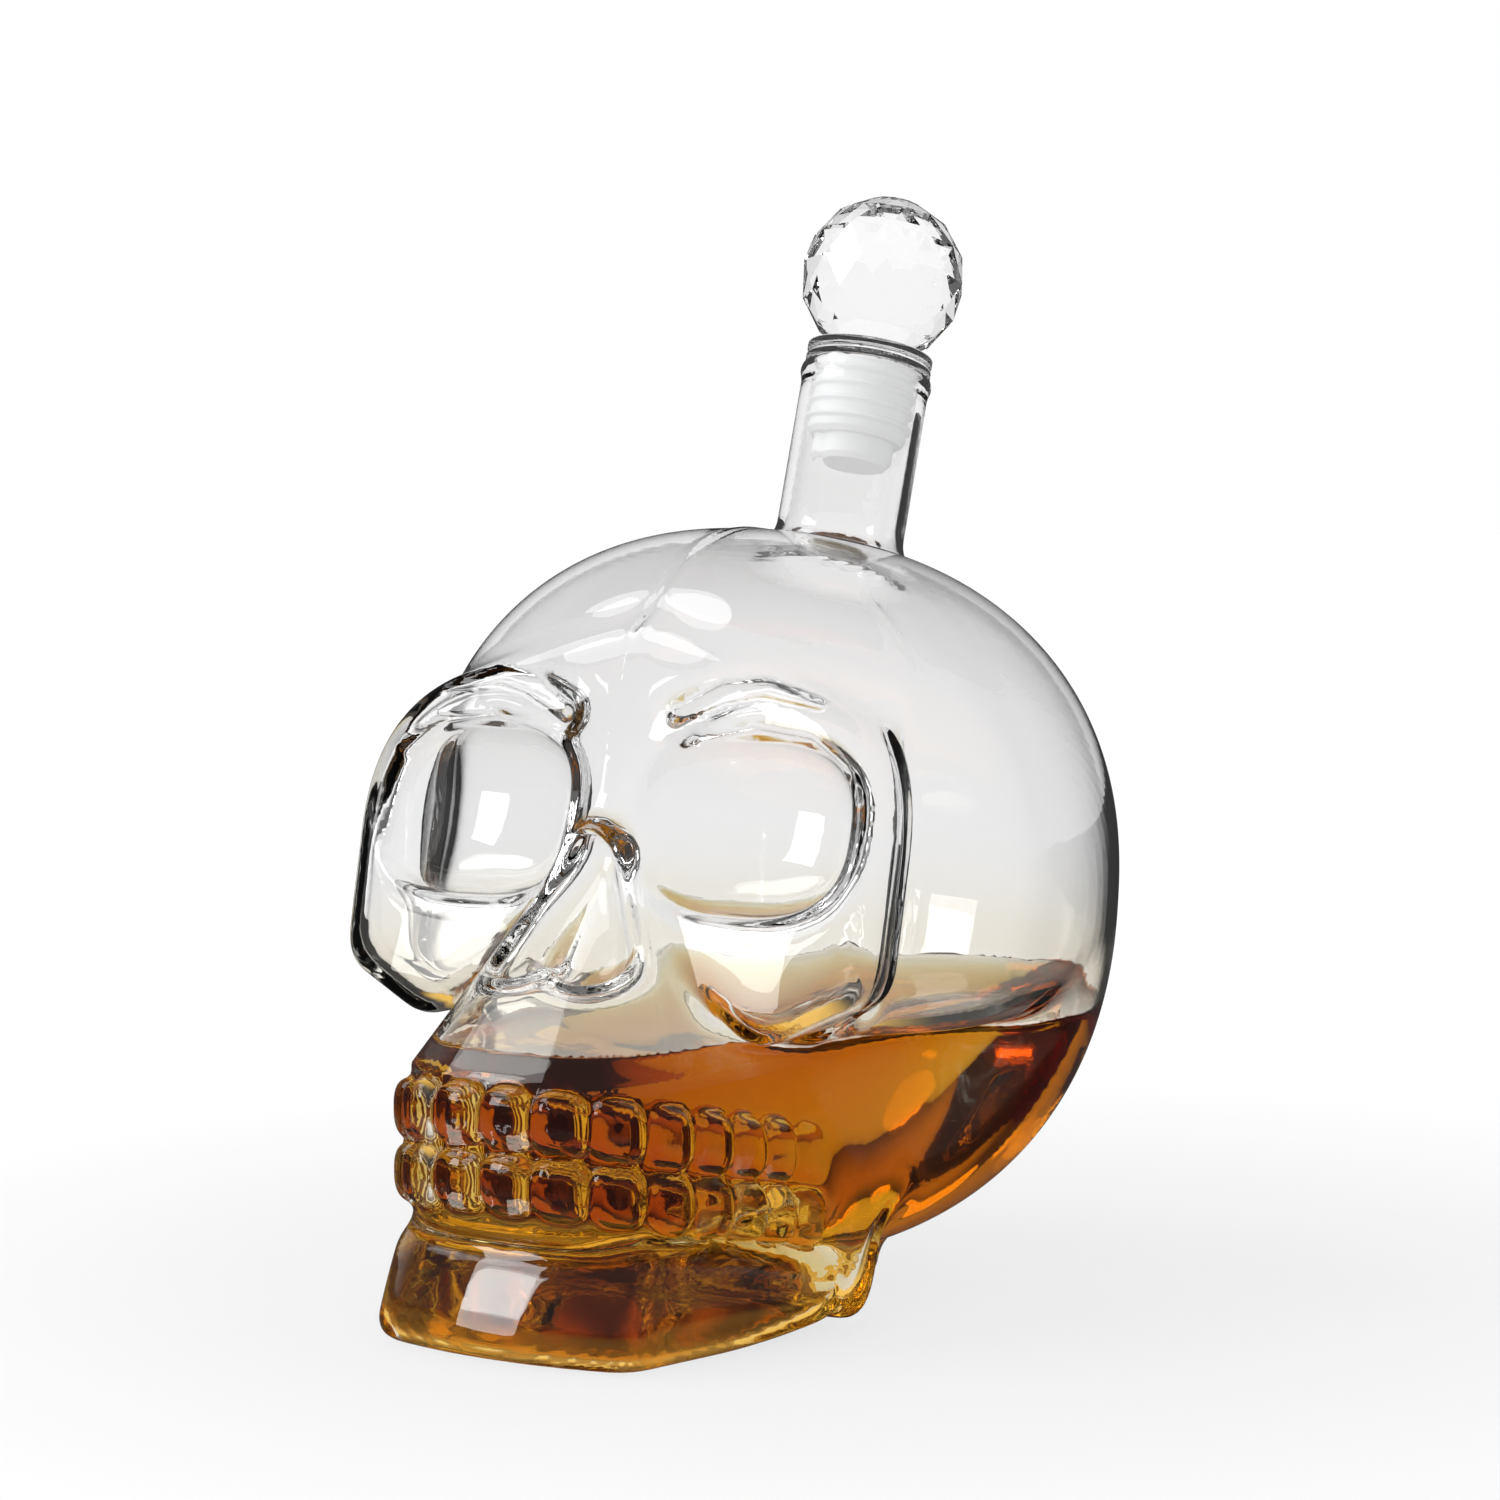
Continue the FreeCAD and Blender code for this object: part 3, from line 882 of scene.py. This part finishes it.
def blend(tree: Tree, share: Wire, first: Wire, second: Wire) -> Wire:
    """Return a mix of two shaders: the first at a share of 0, the second at 1."""
    return add_node(tree, "MixShader", {"Fac": share, 1: first, 2: second}).outputs["Shader"]


def object_place(tree: Tree) -> Wire:
    """Return a socket with the place on the object."""
    return add_node(tree, "TexCoord", {}).outputs["Object"]


@dataclass(frozen=True)
class Grain:
    """Unevenness of a surface: a fine bump of noise."""

    scale: float
    detail: float
    strength: float
    depth: float

    def normal(self, tree: Tree) -> Wire:
        """Roughen a surface.

        Args:
            tree: Where to add the nodes.

        Returns:
            A socket with the uneven normal.
        """
        inputs = {"Vector": object_place(tree), "Scale": self.scale, "Detail": self.detail}
        noise = add_node(tree, "TexNoise", inputs).outputs["Fac"]
        inputs = {"Height": noise, "Strength": self.strength, "Distance": self.depth * MM}
        return add_node(tree, "Bump", inputs).outputs["Normal"]


RIPPLED = Grain(scale=60.0, detail=1.0, strength=0.02, depth=1.0)
STILL = Grain(scale=60.0, detail=1.0, strength=0.0, depth=1.0)
MILKY = Grain(scale=900.0, detail=2.0, strength=0.08, depth=0.2)


@dataclass(frozen=True)
class Finish:
    """What the finishes share: a skin with a colour, a gloss and a fine grain."""

    name: str
    ior: float
    colour: Vec = WHITE
    roughness: float = 0.0
    transmission: float = 1.0
    grain: Grain = RIPPLED

    def skin(self, tree: Tree) -> bpy.types.Node:
        """Add the skin's shader.

        Args:
            tree: Where to add the nodes.

        Returns:
            The shader's node.
        """
        inputs = {
            "Base Color": self.colour,
            "Roughness": self.roughness,
            "IOR": self.ior,
            "Transmission Weight": self.transmission,
            "Normal": self.grain.normal(tree),
        }
        return add_node(tree, "BsdfPrincipled", inputs)


@dataclass(frozen=True)
class ClearBody(Finish):
    """A clear finish: glass, crystal, clear plastic or liquor."""

    shade: Vec = (0.97, 0.97, 0.97)
    film: Vec | None = None
    film_heights: Span = (40.0, 72.0)
    film_stops: Span = (0.2, 0.45)
    absorption: Vec | None = None
    density: float = 0.0
    edge: float = 1.0
    edge_facing: Span = (0.7, 0.95)
    edge_low: Span | None = None
    edge_high: Span = (124.0, 134.0)

    def height(self, tree: Tree, limits: Span) -> Wire:
        """Return a socket that goes from 0 to 1 between two heights, in millimetres."""
        upright = add_node(tree, "SeparateXYZ", {"Vector": object_place(tree)}).outputs["Z"]
        return fade(tree, upright, (limits[0] * MM, limits[1] * MM))

    def film_colour(self, tree: Tree) -> Wire:
        """Tint the glass where the liquor has run down it.

        Args:
            tree: Where to add the nodes.

        Returns:
            A socket with white under the liquor's level, the film's colour at it and the glass's own
            colour above.
        """
        ramp = add_node(tree, "ValToRGB", {"Fac": self.height(tree, self.film_heights)})
        stops = ramp.color_ramp.elements
        stops[0].color = (*WHITE, 1.0)
        stops[1].color = (*self.colour, 1.0)
        for stop in self.film_stops:
            stops.new(stop).color = (*self.film, 1.0)
        return ramp.outputs["Color"]

    def edge_shade(self, tree: Tree, colour: Wire | Vec) -> Wire:
        """Darken a colour where the surface is seen at a glancing angle.

        Args:
            tree: Where to add the nodes.
            colour: The colour to darken, or a socket with it.

        Returns:
            A socket with the darkened colour.
        """
        facing = add_node(tree, "LayerWeight", {}).outputs["Facing"]
        darker = fade(tree, facing, self.edge_facing, (1.0, self.edge))
        inputs: Inputs = {"Factor": 1.0, "A": colour, "B": darker}
        if self.edge_low:
            low, high = self.height(tree, self.edge_low), self.height(tree, self.edge_high)
            inputs["Factor"] = maths(tree, "SUBTRACT", low, high)
        return add_node(tree, "Mix", inputs, data_type="RGBA", blend_type="MULTIPLY").outputs["Result"]

    def build(self) -> Material:
        """Make the material: a clear shader that lets tinted light through to the shade.

        Returns:
            The material.
        """
        material, tree = new_material(self.name)
        clear = self.skin(tree)
        colour = self.film_colour(tree) if self.film else self.colour
        if self.edge < 1.0:
            colour = self.edge_shade(tree, colour)
        if isinstance(colour, Wire):
            tree.links.new(colour, clear.inputs["Base Color"])
        shade = add_node(tree, "BsdfTransparent", {"Color": self.shade})
        path = add_node(tree, "LightPath", {}).outputs
        lighting = maths(tree, "MAXIMUM", path["Is Shadow Ray"], path["Is Diffuse Ray"])
        out = {"Surface": blend(tree, lighting, clear.outputs["BSDF"], shade.outputs["BSDF"])}
        if self.absorption:
            depth = {"Color": self.absorption, "Density": self.density}
            out["Volume"] = add_node(tree, "VolumeAbsorption", depth).outputs["Volume"]
        add_node(tree, "OutputMaterial", out)
        return material


BLOWN_GLASS = ClearBody(
    "blown_glass",
    ior=1.52,
    colour=(0.96, 0.96, 0.96),
    film=(0.93, 0.90, 0.82),
    edge=0.3,
    edge_low=(36.0, 52.0),
)
AMBER_LIQUOR = ClearBody(
    "amber_liquor",
    ior=1.36,
    shade=(0.78, 0.78, 0.78),
    grain=STILL,
    absorption=(0.92, 0.745, 0.0),
    density=88.0,
    edge=0.55,
    edge_facing=(0.4, 0.85),
)
CLEAR_POLYMER = ClearBody("clear_polymer", ior=1.49)
CUT_CRYSTAL = ClearBody("cut_crystal", ior=1.54, grain=STILL)


@dataclass(frozen=True)
class FrostedPolymer(Finish):
    """The plug's milky, light-spreading plastic."""

    name: str = "frosted_polymer"
    ior: float = 1.5
    colour: Vec = (0.97, 0.975, 0.98)
    roughness: float = 0.5
    transmission: float = 0.05
    grain: Grain = MILKY

    def build(self) -> Material:
        """Make the material.

        Returns:
            The material.
        """
        material, tree = new_material(self.name)
        add_node(tree, "OutputMaterial", {"Surface": self.skin(tree).outputs["BSDF"]})
        return material


@dataclass
class Vessel:
    """The blown glass and the liquor in it."""

    skull: Skull = field(default_factory=Skull)
    lattice: Lattice = field(default_factory=Lattice)
    wall: float = 1.7
    jaw_wall: float = 1.4
    thinnest: float = 1.0
    base: float = 1.4
    base_round: float = 1.0
    flow: float = 1.4
    jaw_flow: float = 0.9
    jaw_top: Span = (42.0, 58.0)
    bore_blend: float = 1.0
    rim_round: float = 1.0
    level: float = 46.5
    climb: float = 1.4
    climb_reach: float = 1.8
    wetting: float = 0.25
    polish_rounds: int = 3
    polish_step: float = 0.25
    polish_slope: float = 0.25
    outside: Field = field(init=False)
    cavity: Field = field(init=False)

    def __post_init__(self) -> None:
        """Sample the outer form, and the cavity that its softened copy leaves inside the wall."""
        half = self.skull.distance(self.lattice.points(half=True)).astype(np.float32)
        self.outside = np.concatenate([half[::-1], half])
        points = self.lattice.points()
        low, high = self.jaw_top
        rise = np.clip((points.z - low) / (high - low), 0.0, 1.0)
        jaw = self.lattice.soften(self.outside, self.jaw_flow) + self.jaw_wall
        head = self.lattice.soften(self.outside, self.flow) + self.wall
        inner = np.maximum(jaw + (head - jaw) * rise, self.outside + self.thinnest)
        inner = meet(inner, self.base - points.z, self.base_round)
        self.cavity = join(inner, self.skull.neck.bore(points), self.bore_blend)

    def glass_at(self, spots: Field) -> Field:
        """Return the distance to the glass at rows of places."""
        hollow = self.lattice.look_up(self.cavity, spots)
        return cut(self.skull.distance(Points.of(spots)), hollow, self.rim_round)

    def liquor_field(self, hollow: Field, height: Field) -> Field:
        """Measure from the liquor, which climbs a little at the wall.

        Args:
            hollow: Distance to the cavity.
            height: Height over the floor.

        Returns:
            The distance.
        """
        level = self.level + self.climb * np.exp(np.clip(hollow, None, 0.0) / self.climb_reach)
        return np.maximum(hollow - self.wetting, height - level)

    def liquor_at(self, spots: Field) -> Field:
        """Return the distance to the liquor at rows of places."""
        return self.liquor_field(self.lattice.look_up(self.cavity, spots), spots[:, 2])

    def polish(self, spots: Field, gauge: Callable[[Field], Field]) -> Field:
        """Move corners onto the surface of a field.

        Args:
            spots: Rows of places.
            gauge: Function that gives the field at rows of places.

        Returns:
            The moved places.
        """
        step = self.polish_step * self.lattice.cell
        limit = self.lattice.cell / 2.0
        for _ in range(self.polish_rounds):
            rises = [gauge(spots + step * axis) - gauge(spots - step * axis) for axis in np.eye(3)]
            slope = np.stack(rises, axis=1) / (2.0 * step)
            steep = np.maximum((slope**2).sum(axis=1), self.polish_slope)
            spots = spots - np.clip(slope * (gauge(spots) / steep)[:, None], -limit, limit)
        return spots

    def mesh(self, name: str, values: Field, gauge: Callable[[Field], Field]) -> Piece:
        """Make a closed smooth piece.

        Args:
            name: The piece's name.
            values: Its field, sampled on the lattice.
            gauge: Function that gives the field at rows of places.

        Returns:
            The piece.
        """
        corners, quads = self.lattice.surface(values)
        return new_piece(name, self.polish(corners, gauge), quads, Shading.SMOOTH)

    def build_glass(self, material: Material) -> None:
        """Make the glass as one closed mesh and put it in place."""
        piece = self.mesh("vessel_glass", cut(self.outside, self.cavity, self.rim_round), self.glass_at)
        install(piece, material, "skull_vessel", Body.VESSEL)

    def build_liquor(self, material: Material) -> None:
        """Make the liquor as one closed mesh that wets the glass, and put it in place.

        Args:
            material: Its finish.
        """
        values = self.liquor_field(self.cavity, self.lattice.points().z).astype(np.float32)
        piece = self.mesh("liquor_body", values, self.liquor_at)
        piece.visible_shadow = piece.visible_diffuse = False
        install(piece, material, "liquor_fill", Body.VESSEL)


def turned(name: str, profile: Sequence[Span], segments: int = 96) -> Piece:
    """Turn a closed profile about Z.

    Args:
        name: The object's name.
        profile: Radius and height of each corner, in order; a radius of zero closes on the axis.
        segments: Steps round the axis.

    Returns:
        The smooth-shaded object, drawn about Z.
    """
    corners: list[Vec] = []
    rings: list[list[int]] = []
    for radius, height in profile:
        count = 1 if radius == 0.0 else segments
        start = len(corners)
        for step in range(count):
            angle = 2.0 * math.pi * step / segments
            corners.append((radius * math.cos(angle), radius * math.sin(angle), height))
        rings.append([start + step % count for step in range(segments)])
    faces = []
    for low, high in zip(rings, rings[1:] + rings[:1]):
        for step in range(segments):
            after = (step + 1) % segments
            face = list(dict.fromkeys([low[step], low[after], high[after], high[step]]))
            if len(face) > 2:
                faces.append(face)
    return new_piece(name, np.array(corners), faces, Shading.SMOOTH)


def bevel(piece: Piece, width: float, segments: int = 3) -> None:
    """Round a piece's sharp edges.

    Args:
        piece: The piece.
        width: Width of the round, in millimetres.
        segments: Steps across it.
    """
    rounding = piece.modifiers.new("edge_round", "BEVEL")
    rounding.width = width * MM
    rounding.segments = segments
    rounding.limit_method = "ANGLE"
    rounding.angle_limit = math.radians(SHARP_ANGLE)
    rounding.harden_normals = True


@dataclass
class Stopper:
    """The stopper: a ribbed plug, a clear collar and a faceted crystal ball."""

    neck: Neck = field(default_factory=Neck)
    plug_radius: float = 8.5
    plug_length: float = 17.0
    plug_floor: float = 2.0
    plug_end_radius: float = 6.6
    plug_end_length: float = 4.2
    plug_end_round: float = 0.9
    plug_bevel: float = 0.2
    rib_count: int = 4
    rib_pitch: float = 2.8
    rib_height: float = 1.2
    rib_start: float = 1.0
    rib_clearance: float = 0.05
    shank_radius: float = 5.0
    shank_clearance: float = 0.05
    collar_radius: float = 10.8
    collar_height: float = 3.4
    collar_groove: float = 0.35
    collar_bevel: float = 0.3
    ball_radius: float = 14.2
    ball_facets: int = 12
    ball_rings: int = 7
    ball_table: float = 72.0
    ball_seat: float = 70.0
    seat_overlap: float = 0.15

    def seat(self, piece: Piece, material: Material, node: str, body: Body, slot: Slot) -> None:
        """Put a piece that is drawn about Z on the neck's axis, and in the frame."""
        piece.matrix_world = self.neck.matrix()
        install(piece, material, node, body)

    def build_plug(self, material: Material) -> None:
        """Turn the ribbed sleeve and put it in the bore.

        Args:
            material: Its finish.
        """
        edge = self.neck.bore_radius - self.rib_clearance
        inner = self.shank_radius + self.shank_clearance
        profile = [(inner, 0.0), (self.plug_radius, 0.0)]
        for rib in range(self.rib_count):
            top = -self.rib_start - rib * self.rib_pitch
            third = self.rib_height / 3.0
            profile += [(self.plug_radius, top), (edge, top - third)]
            profile += [(edge, top - 2.0 * third), (self.plug_radius, top - self.rib_height)]
        step = self.plug_end_length - self.plug_length
        profile += [
            (self.plug_radius, step + self.plug_end_round),
            (self.plug_radius - self.plug_end_round, step),
            (self.plug_end_radius, step),
            (self.plug_end_radius, self.plug_end_round - self.plug_length),
            (self.plug_end_radius - self.plug_end_round, -self.plug_length),
            (0.0, -self.plug_length),
            (0.0, self.plug_floor - self.plug_length),
            (inner, self.plug_floor - self.plug_length),
        ]
        piece = turned("plug_sleeve", profile[::-1])
        bevel(piece, self.plug_bevel)
        self.seat(piece, material, "stopper_plug", Body.PLUG, Slot.PLUG)

    def build_collar(self, material: Material) -> None:
        """Turn the clear disc with its shank and put it on the lip.

        Args:
            material: Its finish.
        """
        foot = self.plug_floor + self.shank_clearance - self.plug_length
        groove = self.collar_groove
        middle = self.collar_height / 2.0
        profile = [
            (0.0, foot),
            (self.shank_radius, foot),
            (self.shank_radius, 0.0),
            (self.collar_radius, 0.0),
            (self.collar_radius, middle - groove),
            (self.collar_radius - groove, middle),
            (self.collar_radius, middle + groove),
            (self.collar_radius, self.collar_height),
            (0.0, self.collar_height),
        ]
        piece = turned("collar_disc", profile)
        bevel(piece, self.collar_bevel)
        self.seat(piece, material, "stopper_collar", Body.FINIAL, Slot.COLLAR)

    def build_ball(self, material: Material) -> None:
        """Cut the crystal: rings of corners joined by flat triangles, seated in the collar.

        Args:
            material: Its finish.
        """
        table, seat = math.radians(self.ball_table), -math.radians(self.ball_seat)
        lift = self.collar_height - self.seat_overlap - self.ball_radius * math.sin(seat)
        count = self.ball_facets
        corners: list[Vec] = []
        for ring in range(self.ball_rings):
            latitude = seat + (table - seat) * ring / (self.ball_rings - 1)
            flat, height = self.ball_radius * math.cos(latitude), self.ball_radius * math.sin(latitude)
            for step in range(count):
                around = 2.0 * math.pi * (step + ring % 2 / 2.0) / count
                corners.append((flat * math.cos(around), flat * math.sin(around), height + lift))
        faces: list[list[int]] = []
        for ring in range(self.ball_rings - 1):
            low, high = ring * count, (ring + 1) * count
            for step in range(count):
                after = (step + 1) % count
                if ring % 2 == 0:
                    faces.append([low + step, low + after, high + step])
                    faces.append([high + step, low + after, high + after])
                else:
                    faces.append([low + step, high + after, high + step])
                    faces.append([low + step, low + after, high + after])
        faces.append(list(range(count))[::-1])
        faces.append(list(range((self.ball_rings - 1) * count, self.ball_rings * count)))
        piece = new_piece("crystal_ball", np.array(corners), faces, Shading.FACETED)
        self.seat(piece, material, "stopper_ball", Body.FINIAL, Slot.CRYSTAL)


def stand(name: str, data: bpy.types.ID, place: Vector, back: Vector) -> Piece:
    """Put a camera or a lamp in the scene.

    Args:
        name: The object's name.
        data: The camera or the lamp.
        place: Where it stands, in metres.
        back: The direction that its back points in.

    Returns:
        The object.
    """
    holder = bpy.data.objects.new(name, data)
    bpy.context.scene.collection.objects.link(holder)
    holder.location = place
    holder.rotation_euler = back.to_track_quat("Z", "Y").to_euler()
    return holder


@dataclass
class Studio:
    """The white set: camera, surroundings, floor and two lamps."""

    azimuth: float = 33.0
    elevation: float = 5.0
    distance: float = 742.0
    target: Vec = (0.0, 0.0, 89.5)
    focal_pixels: float = 4472.0
    image_pixels: float = 1500.0
    sensor: float = 36.0
    floor_size: float = 6.0
    floor_colour: Vec = (0.8, 0.8, 0.8)
    floor_glow: float = 0.18
    # Distances from the middle, in metres, over which the floor's glow rises from none to full: painted
    # shade round the object's foot.
    painted_shade_reach: Span = (0.05, 0.35)
    # The floor's colour to mirrored rays away from the amber: painted dark reflection.
    reflected_floor_shade: Vec = (0.04, 0.04, 0.04)
    # Painted amber light on the floor under the jaw, for what the liquor throws there: its middle,
    # where it fades out, and its colour.
    amber_centre: Vec = (0.0, -0.045, 0.0)
    amber_fade: Span = (0.04, 0.08)
    painted_amber_light: Vec = (1.0, 0.62, 0.14)
    ambient: float = 0.9
    ceiling: Span = (60.0, 80.0)
    backdrop: Span = (80.0, 45.0)
    darkness: float = 0.15
    skin_shine: float = 0.5
    sun_strength: float = 0.7
    sun_spread: float = 35.0
    sun_from: Vec = (-0.75, -0.35, 1.0)
    softbox_place: Vec = (-0.54, -0.79, 0.36)
    softbox_size: Span = (0.30, 0.40)
    softbox_power: float = 2.2
    bounces: int = 40
    reflections: int = 16

    def toward_camera(self) -> Vector:
        """Work out which way the camera is.

        Returns:
            The direction from the target to the camera.
        """
        turn, rise = math.radians(self.azimuth), math.radians(self.elevation)
        flat = math.cos(rise)
        return Vector((math.sin(turn) * flat, -math.cos(turn) * flat, math.sin(rise)))

    def build_camera(self) -> None:
        """Put the camera where the photograph was taken."""
        lens = bpy.data.cameras.new("camera")
        lens.sensor_width = self.sensor
        lens.lens = self.focal_pixels / self.image_pixels * self.sensor
        away = self.toward_camera()
        place = (Vector(self.target) + away * self.distance) * MM
        bpy.context.scene.camera = stand("camera", lens, place, away)

    def seen(self, tree: Tree) -> Wire:
        """Tell the rays that look from those that light.

        Args:
            tree: Where to add the nodes.

        Returns:
            A socket that is 1 for what the camera sees, in glass too, and 0 for light.
        """
        path = add_node(tree, "LightPath", {}).outputs
        seen = path["Is Camera Ray"]
        for kind in ("Is Glossy Ray", "Is Transmission Ray"):
            seen = maths(tree, "MAXIMUM", seen, path[kind])
        direct = maths(tree, "LESS_THAN", path["Diffuse Depth"], ANY_DEPTH)
        return maths(tree, "MULTIPLY", seen, direct)

    def brightness(self, tree: Tree) -> Wire:
        """Light the set as a bright field: white beyond the glass, dark overhead and in reflections.

        Args:
            tree: Where to add the nodes.

        Returns:
            A socket with the set's brightness in the ray's direction.
        """
        path = add_node(tree, "LightPath", {}).outputs
        ray = add_node(tree, "TexCoord", {}).outputs["Generated"]
        upright = add_node(tree, "SeparateXYZ", {"Vector": ray}).outputs["Z"]
        overhead = fade(tree, upright, tuple(math.sin(math.radians(angle)) for angle in self.ceiling))
        away = measure(tree, "DOT_PRODUCT", ray, -self.toward_camera())
        backdrop = fade(tree, away, tuple(math.cos(math.radians(angle)) for angle in self.backdrop))
        within = maths(tree, "GREATER_THAN", path["Transmission Depth"], ANY_DEPTH)
        mirrored = maths(tree, "GREATER_THAN", path["Glossy Depth"], ANY_DEPTH)
        off_backdrop = maths(tree, "SUBTRACT", 1.0, maths(tree, "MULTIPLY", backdrop, within))
        extra = maths(tree, "SUBTRACT", off_backdrop, overhead)
        dark = maths(tree, "MULTIPLY_ADD", extra, mirrored, overhead)
        level = maths(tree, "MULTIPLY_ADD", dark, self.darkness - 1.0, 1.0)
        skin = maths(tree, "MULTIPLY_ADD", path["Is Reflection Ray"], self.skin_shine - 1.0, 1.0)
        return maths(tree, "MULTIPLY", level, skin)

    def build_world(self) -> None:
        """Make the surroundings white to the eye and to glass, and a plain level of light elsewhere."""
        world = bpy.data.worlds.new("studio")
        bpy.context.scene.world = world
        world.use_nodes = True
        tree = world.node_tree
        tree.nodes.clear()
        levels = (self.ambient, self.brightness(tree))
        plain, white = (
            add_node(tree, "Background", {"Color": WHITE, "Strength": level}).outputs["Background"]
            for level in levels
        )
        add_node(tree, "OutputWorld", {"Surface": blend(tree, self.seen(tree), plain, white)})

    def floor_surface(self, tree: Tree) -> Wire:
        """Shade the floor: pale paper to the eye with painted shade round the object, and painted dark
        or amber to mirrored rays.

        The amber stands in for the light that the liquor throws under the jaw, and shows only to rays
        that come out of the glass there.

        Args:
            tree: Where to add the nodes.

        Returns:
            The floor's shader.
        """
        place = object_place(tree)
        path = add_node(tree, "LightPath", {}).outputs
        # The glow is weaker near the object, so the floor greys round its foot: painted shade.
        glow = fade(tree, measure(tree, "LENGTH", place), self.painted_shade_reach, (0.0, self.floor_glow))
        shine = {"Strength": maths(tree, "MULTIPLY", self.seen(tree), glow)}
        paper, dark = (
            add_node(tree, "BsdfDiffuse", {"Color": colour}).outputs["BSDF"]
            for colour in (self.floor_colour, self.reflected_floor_shade)
        )
        shining, amber = (
            add_node(tree, "Emission", inputs).outputs["Emission"]
            for inputs in (shine, {"Color": self.painted_amber_light})
        )
        pale = add_node(tree, "AddShader", {0: paper, 1: shining}).outputs["Shader"]
        # Mirrored rays from inside the glass near the jaw see painted amber light; all other mirrored
        # rays see the painted dark reflection.
        lost = fade(tree, measure(tree, "DISTANCE", place, self.amber_centre), self.amber_fade)
        outside = maths(tree, "LESS_THAN", path["Transmission Depth"], ANY_DEPTH)
        thrown = blend(tree, maths(tree, "MAXIMUM", lost, outside), amber, dark)
        mirrored = maths(tree, "GREATER_THAN", path["Glossy Depth"], ANY_DEPTH)
        return blend(tree, mirrored, pale, thrown)

    def build_floor(self) -> None:
        """Lay the floor."""
        half = self.floor_size / 2.0 / MM
        corners = [(-half, -half, 0.0), (half, -half, 0.0), (half, half, 0.0), (-half, half, 0.0)]
        floor = new_piece("floor", np.array(corners), [(0, 1, 2, 3)], Shading.FACETED)
        material, tree = new_material("pale_floor")
        add_node(tree, "OutputMaterial", {"Surface": self.floor_surface(tree)})
        floor.data.materials.append(material)

    def build_lamps(self) -> None:
        """Hang the broad lamp that casts the soft shade, and the softbox that shows in the glass."""
        sun = bpy.data.lights.new("broad_lamp", "SUN")
        sun.energy = self.sun_strength
        sun.angle = math.radians(self.sun_spread)
        stand("broad_lamp", sun, Vector(), Vector(self.sun_from))
        softbox = bpy.data.lights.new("key_softbox", "AREA")
        softbox.shape = "RECTANGLE"
        softbox.size, softbox.size_y = self.softbox_size
        softbox.energy = self.softbox_power
        place = Vector(self.softbox_place)
        stand("key_softbox", softbox, place, place - Vector(self.target) * MM)

    def build(self) -> None:
        """Build the whole set."""
        bpy.context.scene.view_settings.view_transform = "Standard"
        paths = bpy.context.scene.cycles
        paths.max_bounces = paths.transmission_bounces = self.bounces
        paths.glossy_bounces = paths.transparent_max_bounces = self.reflections
        self.build_camera()
        self.build_world()
        self.build_floor()
        self.build_lamps()


def main() -> None:
    """Build the set and every piece in order."""
    logging.basicConfig(level=logging.INFO, format="%(name)s: %(message)s")
    Studio().build()
    cell = Cell.FINE
    vessel = Vessel(lattice=Lattice(cell=cell.value))
    vessel.build_glass(BLOWN_GLASS.build())
    vessel.build_liquor(AMBER_LIQUOR.build())
    stopper = Stopper()
    stopper.build_plug(FrostedPolymer().build())
    stopper.build_collar(CLEAR_POLYMER.build())
    stopper.build_ball(CUT_CRYSTAL.build())


if __name__ == "__main__":
    main()
